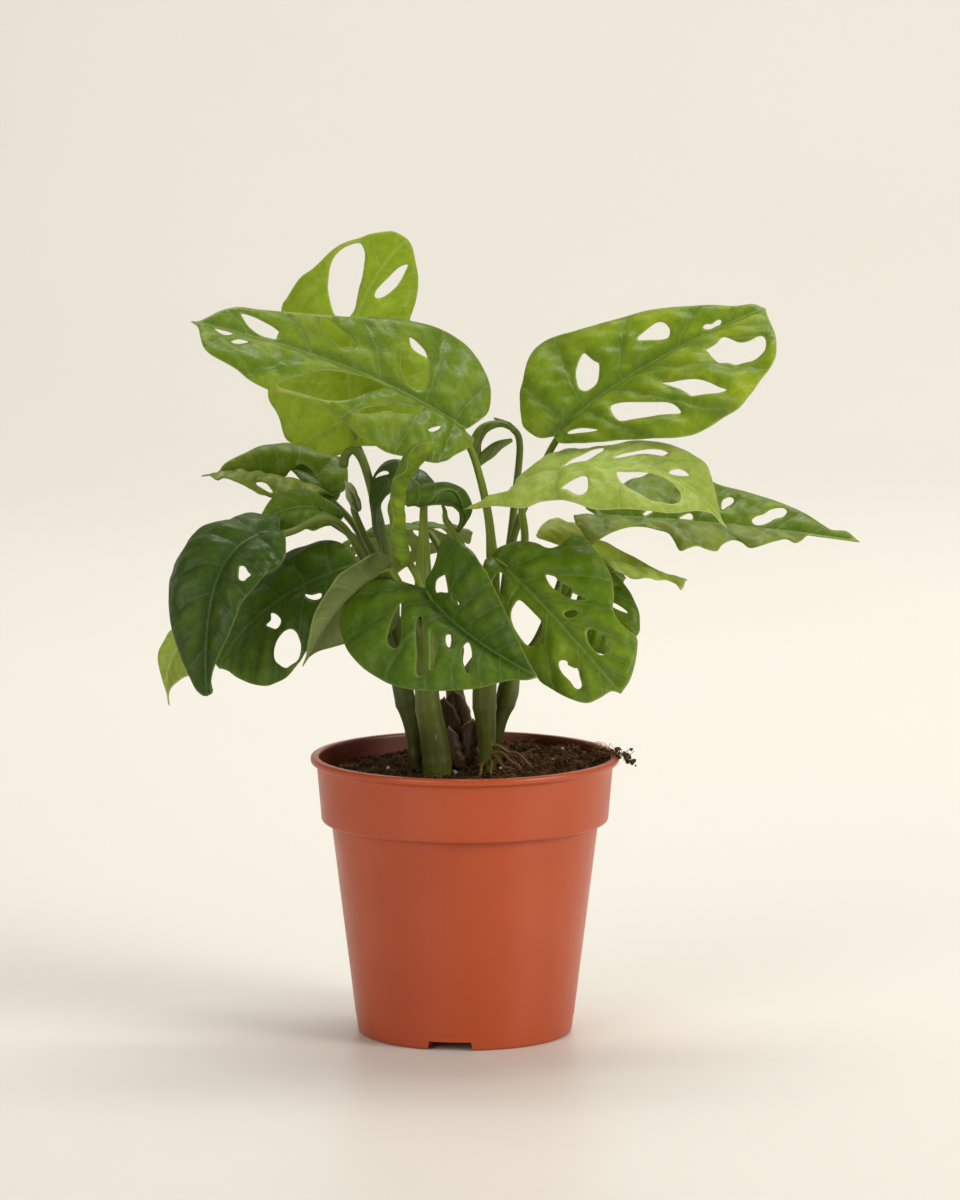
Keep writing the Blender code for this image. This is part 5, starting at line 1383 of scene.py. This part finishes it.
def makePot():
    material = makePotMaterial("terracottaPlastic", potLook["clay"], potLook["deep"])
    # The inside gets a darker copy of the clay: painted shade for the inside of the pot.
    inner = makePotMaterial("terracottaInsidePaintedShade", potLook["shade"], potLook["shade"])
    piece = recalculated(addMesh("potShell", *turned(potProfile(), pot["sides"]), material))
    for number in range(pot["drainCount"]):
        angle = pot["drainFirstAngle"] + 360 / pot["drainCount"] * number
        turn = Matrix.Rotation(math.radians(angle), 4, "Z")
        cover = recalculated(wedge("cover", pot["floorWall"], 0.4, pot["drainHeight"] + pot["floorWall"],
                                   pot["footRadius"] - 1.6, material))
        cover.data.transform(turn)
        cutWith(piece, cover, "UNION")
        channel = recalculated(wedge("channel", 0.0, -1.0, pot["drainHeight"], pot["footRadius"] + 4,
                                     material))
        channel.data.transform(turn)
        cutWith(piece, channel, "DIFFERENCE")
        hole = [(0, 1.0), (pot["holeRadius"], 1.0), (pot["holeRadius"], 8.0), (0, 8.0)]
        plug = recalculated(addMesh("plug", *turned(hole, 40), material))
        plug.data.transform(turn @ Matrix.Translation((pot["holePlace"] * mm, 0, 0)))
        cutWith(piece, plug, "DIFFERENCE")
    # Faces that look inward above the floor take the darker clay, painted shade.
    piece.data.materials.append(inner)
    for face in piece.data.polygons:
        out = Vector((face.center.x, face.center.y, 0)).normalized()
        face.material_index = int(face.normal.dot(out) < -0.2 and face.center.z > 0.02)
    piece.data.shade_smooth()
    piece.data.set_sharp_from_angle(angle=math.radians(pot["sharpAngle"]))
    print("pot made:", len(piece.data.polygons), "faces")
    return standFor(piece, "pot")


potLook = {"clay": (0.44, 0.066, 0.012), "deep": (0.38, 0.052, 0.009), "scuff": (0.52, 0.14, 0.050),
          "shade": (0.13, 0.018, 0.003)}


def makePotMaterial(name, clay, deep):
    material, tree, shader, _ = newMaterial(name)
    place = addNode(tree, "ShaderNodeTexCoord", (-1600, 0)).outputs["Object"]
    cloud = noiseNode(tree, place, 28.0, 3.0, 0.55, (-1300, 200))
    tall = stretched(tree, place, (1.0, 1.0, 0.12), (-1500, -200))
    flow = noiseNode(tree, tall, 160.0, 3.0, 0.5, (-1300, -200))
    pits = noiseNode(tree, place, 1500.0, 3.0, 0.6, (-1300, -400))
    level = stretched(tree, place, (0.35, 0.35, 6.0), (-1500, -600))
    scratch = noiseNode(tree, level, 90.0, 4.0, 0.7, (-1300, -600))
    body = mixNode(tree, rangeNode(tree, cloud, 0.3, 0.7, 0.0, 0.45), clay, deep, (-700, 200))
    body = mixNode(tree, rangeNode(tree, scratch, 0.70, 0.80, 0.0, 0.25), body, potLook["scuff"], (-500, 200))
    feed(tree, shader, {"Base Color": body, "Roughness": rangeNode(tree, cloud, 0.3, 0.7, 0.30, 0.40),
                        "Specular IOR Level": 0.5})
    height = times(tree, flow, 0.5)
    height = plus(tree, height, times(tree, pits, 0.25))
    addBump(tree, height, shader, 0.00010, 0.8)
    return material


# Soil
soil = {"top": 100.5, "mound": 5.5, "gap": 0.3, "rings": 90, "sides": 180, "lump": 0.9, "seed": 11,
        "fibreRadius": 0.105, "spillPlace": (-2.0, 5.0)}  # the spill's middle along y, and its spread

# Bits on the soil. A larger power gives more small ones, and a spill lies over the rim's right side,
# lower from its bend on. placed are the first bits, where the photo shows them.
soilBits = {
    "soilCrumbs": dict(strand=False, count=2100, size=(0.34, 1.5), power=4, reach=54.6, toRight=0.15,
                       lift=0.0, liftShare=0.15, bend=1.5, detail=1100.0, seed=5, skin="soilCrumb",
                       low=(0.020, 0.010, 0.004), high=(0.125, 0.062, 0.026),
                       spill=dict(count=60, power=1.6, start=51.0, run=16.0, height=108.6, rise=(-0.2, 2.4),
                                  drop=7.0, bend=0.55, stray=4.0, strayFrom=0.6, size=(0.35, 1.0))),
    "soilFibres": dict(strand=True, count=640, size=(3.0, 10.0), power=2, reach=50.0, toRight=0.45, lift=0.5,
                       liftShare=0.0, bend=1.1, detail=170.0, seed=9, skin="soilFibre",
                       low=(0.085, 0.036, 0.013), high=(0.36, 0.20, 0.090),
                       spill=dict(count=46, power=1.0, start=49.0, run=15.0, height=109.4, rise=(0, 2.8),
                                  drop=5.0, bend=0.5, size=(3.0, 8.5))),
    "soilPerlite": dict(strand=False, count=16, size=(0.35, 0.8), power=1, reach=52.0, toRight=0.1, lift=0.5,
                        liftShare=0.0, bend=1.0, detail=900.0, seed=2, skin="perlite",
                        low=(0.50, 0.47, 0.42), high=(0.80, 0.78, 0.73),
                        placed=[(-23, 40), (-3.5, -8), (-30, 14)], placedLift=0.8),
}


def soilHeight(x, y):
    lean = (x * 0.8 + y * 0.35) / pot["bandHighRadius"]
    heap = soil["mound"] * (0.5 + 0.5 * np.tanh(2.2 * (lean - 0.15)))
    lumps = 0.8 * np.sin(0.19 * x + 1.0) * np.cos(0.23 * y) + 0.5 * np.sin(0.41 * x - 0.33 * y)
    fine = 0.45 * np.sin(0.9 * x + 0.7 * y) * np.sin(1.1 * y - 0.5 * x)
    fine = fine + 0.3 * np.sin(1.9 * x) * np.sin(2.3 * y + 1)
    return soil["top"] + heap + lumps + soil["lump"] * fine


def makeSoilMaterial(name, low, high):
    material, tree, shader, _ = newMaterial(name)
    place = addNode(tree, "ShaderNodeTexCoord", (-1300, 0)).outputs["Object"]
    lumps = noiseNode(tree, place, 260.0, 6.0, 0.7, (-1000, 100))
    patch = noiseNode(tree, place, 60.0, 3.0, 0.6, (-1000, 300))
    body = mixNode(tree, rangeNode(tree, lumps, 0.35, 0.7, 0.0, 1.0), low, high, (-400, 100))
    body = mixNode(tree, rangeNode(tree, patch, 0.35, 0.7, 0.0, 0.35), body, low, (-200, 100))
    feed(tree, shader, {"Base Color": body, "Roughness": 0.95, "Specular IOR Level": 0.08})
    addBump(tree, lumps, shader, 0.0008)
    return material


def makeSoil(material):
    wall, step = pot["wall"] + soil["gap"], pot["shoulder"]
    profile = [(0, pot["floorWall"] + 4.5), (outerRadius(0) - wall - 1.6, pot["floorWall"] + 4.5),
               (outerRadius(step - 2.2) - wall - 0.1, step - 2.0),
               (outerRadius(step) - wall - 3.4, step + 0.2),
               (outerRadius(step + 2.0) - wall, step + 2.3)]
    edgeRadius = outerRadius(soil["top"]) - wall + 0.25
    radii = np.linspace(edgeRadius, 0.0, soil["rings"])
    points, faces = turned(profile + [(radius, soil["top"]) for radius in radii], soil["sides"])
    points = np.array(points)
    top = np.arange(len(points)) >= 1 + (len(profile) - 1) * soil["sides"]
    points[top, 2] = soilHeight(points[top, 0], points[top, 1])
    piece = recalculated(addMesh("soilBody", points, faces, material))
    return standFor(piece, "soil")


def newScatterTree(name, settings):
    tree = bpy.data.node_groups.new(name, "GeometryNodeTree")
    tree.interface.new_socket("Geometry", in_out="INPUT", socket_type="NodeSocketGeometry")
    for label, kind, value in settings:
        socket = tree.interface.new_socket(label, in_out="INPUT", socket_type=kind)
        if value is not None:
            socket.default_value = value
    tree.interface.new_socket("Geometry", in_out="OUTPUT", socket_type="NodeSocketGeometry")
    start = addNode(tree, "NodeGroupInput", (-1400, 0))
    return tree, start.outputs, addNode(tree, "NodeGroupOutput", (1400, 0))


def scatterTree(name, fibres):
    # On each point a lump, or a bent fibre, scaled by the point's own size.
    tree, given, out = newScatterTree(name, [
        ("Bend", "NodeSocketFloat", 0.9), ("Detail Scale", "NodeSocketFloat", 900.0),
        ("Fibre Radius", "NodeSocketFloat", 0.0001), ("Seed", "NodeSocketInt", 3),
        ("Material", "NodeSocketMaterial", None)])
    size = addNode(tree, "GeometryNodeInputNamedAttribute", (-1200, -300), {"Name": "size"},
                   data_type="FLOAT").outputs["Attribute"]
    turn = addNode(tree, "FunctionNodeRandomValue", (-1200, -500), {"Seed": given["Seed"]},
                   data_type="FLOAT_VECTOR")
    low, high = [socket for socket in turn.inputs if socket.type == "VECTOR"][:2]
    low.default_value = (-0.5, -0.5, 0.0) if fibres else (0.0, 0.0, 0.0)
    high.default_value = (0.5, 0.5, 6.283) if fibres else (6.283, 6.283, 6.283)
    if fibres:
        line = addNode(tree, "GeometryNodeCurvePrimitiveLine", (-1200, 300),
                       {"Start": (-0.5, 0.0, 0.0), "End": (0.5, 0.0, 0.0)})
        shape = addNode(tree, "GeometryNodeResampleCurve", (-1000, 300),
                        {"Curve": line.outputs[0], "Count": 9})
    else:
        shape = addNode(tree, "GeometryNodeMeshIcoSphere", (-1000, 300), {"Radius": 1.0, "Subdivisions": 2})
    spread = addNode(tree, "GeometryNodeInstanceOnPoints", (-700, 0),
                     {"Points": given["Geometry"], "Instance": shape.outputs[0],
                      "Rotation": turn.outputs["Value"], "Scale": size})
    real = addNode(tree, "GeometryNodeRealizeInstances", (-450, 0), {0: spread.outputs[0]})
    place = addNode(tree, "GeometryNodeInputPosition", (-700, -300)).outputs[0]
    noise = addNode(tree, "ShaderNodeTexNoise", (-450, -300),
                    {"Vector": place, "Scale": given["Detail Scale"], "Detail": 2.0})
    centred = addNode(tree, "ShaderNodeVectorMath", (-250, -300),
                      {0: noise.outputs["Color"], 1: (0.5, 0.5, 0.5)}, operation="SUBTRACT")
    reach = times(tree, size, given["Bend"], (-250, -500))
    offset = addNode(tree, "ShaderNodeVectorMath", (-50, -300), {0: centred.outputs[0], "Scale": reach},
                     operation="SCALE")
    moved = addNode(tree, "GeometryNodeSetPosition", (150, 0),
                    {"Geometry": real.outputs[0], "Offset": offset.outputs[0]})
    shaped = moved.outputs[0]
    if fibres:
        ring = addNode(tree, "GeometryNodeCurvePrimitiveCircle", (150, 300),
                       {"Resolution": 4, "Radius": given["Fibre Radius"]})
        tube = addNode(tree, "GeometryNodeCurveToMesh", (400, 0),
                       {"Curve": shaped, "Profile Curve": ring.outputs[0], "Fill Caps": True})
        shaped = tube.outputs[0]
    again = addNode(tree, "GeometryNodeRealizeInstances", (700, 0), {0: shaped})
    coat = addNode(tree, "GeometryNodeSetMaterial", (1000, 0),
                   {"Geometry": again.outputs[0], "Material": given["Material"]})
    feed(tree, out, {0: coat.outputs[0]})
    return tree


def scattered(name, points, sizes, tree, values, material):
    # Points become one plain mesh through the tree.
    mesh = bpy.data.meshes.new(name)
    mesh.from_pydata((np.array(points) * mm).tolist(), [], [])
    addValue(mesh, "size", np.array(sizes) * mm)
    piece = addObject(name, mesh)
    grow = piece.modifiers.new("grow", "NODES")
    grow.node_group = tree
    for socket in tree.interface.items_tree:
        if socket.in_out == "INPUT" and socket.name in values:
            grow[socket.identifier] = values[socket.name]
        elif socket.name == "Material":
            grow[socket.identifier] = material
    standFor(applied(piece), "soil")
    print(name, "made:", len(piece.data.polygons), "faces")


def onSoil(random, count, reach, rightBias):
    angle = random.uniform(0, 2 * math.pi, count)
    radius = reach * np.sqrt(random.uniform(0, 1, count))
    x, y = radius * np.cos(angle), radius * np.sin(angle)
    moved = random.uniform(0, 1, count) < rightBias
    x = np.where(moved, np.abs(x) * 0.75 + 0.25 * reach, x)
    far = np.hypot(x, y)
    x, y = (a * np.minimum(1.0, reach / np.maximum(far, 1e-6)) for a in (x, y))
    return np.stack([x, y, soilHeight(x, y)], 1)


def spillOver(random, spill):
    # Bits heaped on the rim's right side, the outer ones hanging lower.
    count = spill["count"]
    along = random.uniform(0, 1, count) ** spill["power"]
    y = random.normal(*soil["spillPlace"], count)
    z = spill["height"] + random.uniform(*spill["rise"], count)
    z = z - spill["drop"] * np.clip(along - spill["bend"], 0, 1)
    if "stray" in spill:
        z = z + spill["stray"] * np.clip(along - spill["strayFrom"], 0, 1) * random.uniform(-1, 1, count)
    return np.stack([spill["start"] + spill["run"] * along, y, z], 1)


def makeSoilBits():
    random = np.random.default_rng(soil["seed"])
    trees = {False: scatterTree("soilLumps", False), True: scatterTree("soilStrands", True)}
    for name, bits in soilBits.items():
        low, high = bits["size"]
        sizes = low + (high - low) * random.uniform(0, 1, bits["count"]) ** bits["power"]
        points = onSoil(random, bits["count"], bits["reach"], bits["toRight"])
        points[:, 2] += bits["lift"] + bits["liftShare"] * sizes
        for number, (x, y) in enumerate(bits.get("placed", [])):
            points[number] = x, y, soilHeight(x, y) + bits["placedLift"]
        if "spill" in bits:
            points = np.vstack([points, spillOver(random, bits["spill"])])
            sizes = np.concatenate([sizes, random.uniform(*bits["spill"]["size"], bits["spill"]["count"])])
        values = {"Bend": bits["bend"], "Detail Scale": bits["detail"], "Seed": bits["seed"],
                  "Fibre Radius": soil["fibreRadius"] * mm}
        material = makeSoilMaterial(bits["skin"], bits["low"], bits["high"])
        scattered(name, points, sizes, trees[bits["strand"]], values, material)


stage = {"paper": (0.785, 0.775, 0.725), "paperWarm": (0.775, 0.750, 0.695), "halfWidth": 6.0, "front": -5.0,
         "curveStart": 1.8, "curveRadius": 1.2, "curveRows": 14, "top": 6.0, "air": (1.0, 0.965, 0.91),
         "airStrength": 0.30, "camera": (0.00588, -2.5, 0.5187), "down": 7.95, "lens": 195.4,
         "sensor": 36.0, "picture": (960, 1200)}


def makeStage():
    # A paper sweep: flat floor, a quarter turn, and a wall behind.
    start, turn, side = stage["curveStart"], stage["curveRadius"], stage["halfWidth"]
    rows = [(stage["front"], 0.0), (start, 0.0)]
    for angle in np.linspace(0.1, math.pi / 2, stage["curveRows"]):
        rows.append((start + turn * math.sin(angle), turn - turn * math.cos(angle)))
    rows.append((start + turn, stage["top"]))
    points = [(x, y, z) for y, z in rows for x in (-side, side)]
    faces = [(2 * i, 2 * i + 1, 2 * i + 3, 2 * i + 2) for i in range(len(rows) - 1)]
    sweep = bpy.data.meshes.new("floor")
    sweep.from_pydata(points, [], faces)
    sweep.shade_smooth()
    floor = addObject("floor", sweep)
    material, tree, shader, output = newMaterial("creamPaper")
    place = addNode(tree, "ShaderNodeTexCoord", (-900, 0)).outputs["Object"]
    cloud = rangeNode(tree, noiseNode(tree, place, 1.2, 2.0, 0.5, (-600, 0)), 0.3, 0.7, 0.0, 1.0)
    body = mixNode(tree, cloud, stage["paper"], stage["paperWarm"], (-200, 0))
    feed(tree, shader, {"Base Color": body, "Roughness": 0.42})
    # The paper is clear from behind, so that a camera past it still sees the plant.
    behind = addNode(tree, "ShaderNodeNewGeometry", (200, 300)).outputs["Backfacing"]
    clear = addNode(tree, "ShaderNodeBsdfTransparent", (200, -300)).outputs["BSDF"]
    oneSided = addNode(tree, "ShaderNodeMixShader", (500, 0),
                       {"Fac": behind, 1: shader.outputs["BSDF"], 2: clear})
    feed(tree, output, {"Surface": oneSided.outputs["Shader"]})
    sweep.materials.append(material)
    print("stage made")


def addLight(name, place, target, size, power, colour):
    data = bpy.data.lights.new(name, "AREA")
    data.shape = "DISK"
    data.size = size
    data.energy = power
    data.color = colour
    light = addObject(name, data)
    light.location = place
    light.rotation_euler = (Vector(target) - Vector(place)).to_track_quat("-Z", "Y").to_euler()


lights = [  # name, place, target, size, power, colour
    ("keyLight", (1.80, -1.04, 1.02), (0, 0, 0.18), 1.05, 31.5, (1.0, 0.965, 0.90)),
    ("topLight", (0.20, 0.80, 2.30), (0, 0, 0.1), 1.4, 24.0, (1.0, 0.98, 0.93)),
    ("fillLight", (-1.7, -2.3, 1.1), (0, 0, 0.2), 1.8, 28.0, (1.0, 0.955, 0.91)),
    ("wallLight", (0.5, 0.9, 2.3), (0.3, 2.8, 0.7), 1.2, 28.0, (1.0, 0.97, 0.92)),
]


def makeLightAndCamera():
    for light in lights:
        addLight(*light)
    world = bpy.data.worlds.new("studio")
    world.use_nodes = True
    feed(world.node_tree, world.node_tree.nodes["Background"],
         {"Color": stage["air"], "Strength": stage["airStrength"]})
    bpy.context.scene.world = world
    bpy.context.scene.view_settings.view_transform = "Standard"
    data = bpy.data.cameras.new("camera")
    data.lens = stage["lens"]
    data.sensor_width = stage["sensor"]
    data.clip_end = 50.0
    camera = addObject("camera", data)
    camera.location = stage["camera"]
    camera.rotation_euler = (math.radians(90 - stage["down"]), 0, 0)
    bpy.context.scene.camera = camera


makeLightAndCamera()
makeStage()
makePot()
makeSoil(makeSoilMaterial("pottingSoil", (0.014, 0.007, 0.004), (0.055, 0.028, 0.012)))
makeSoilBits()
makeLeaves()
makeShoots()
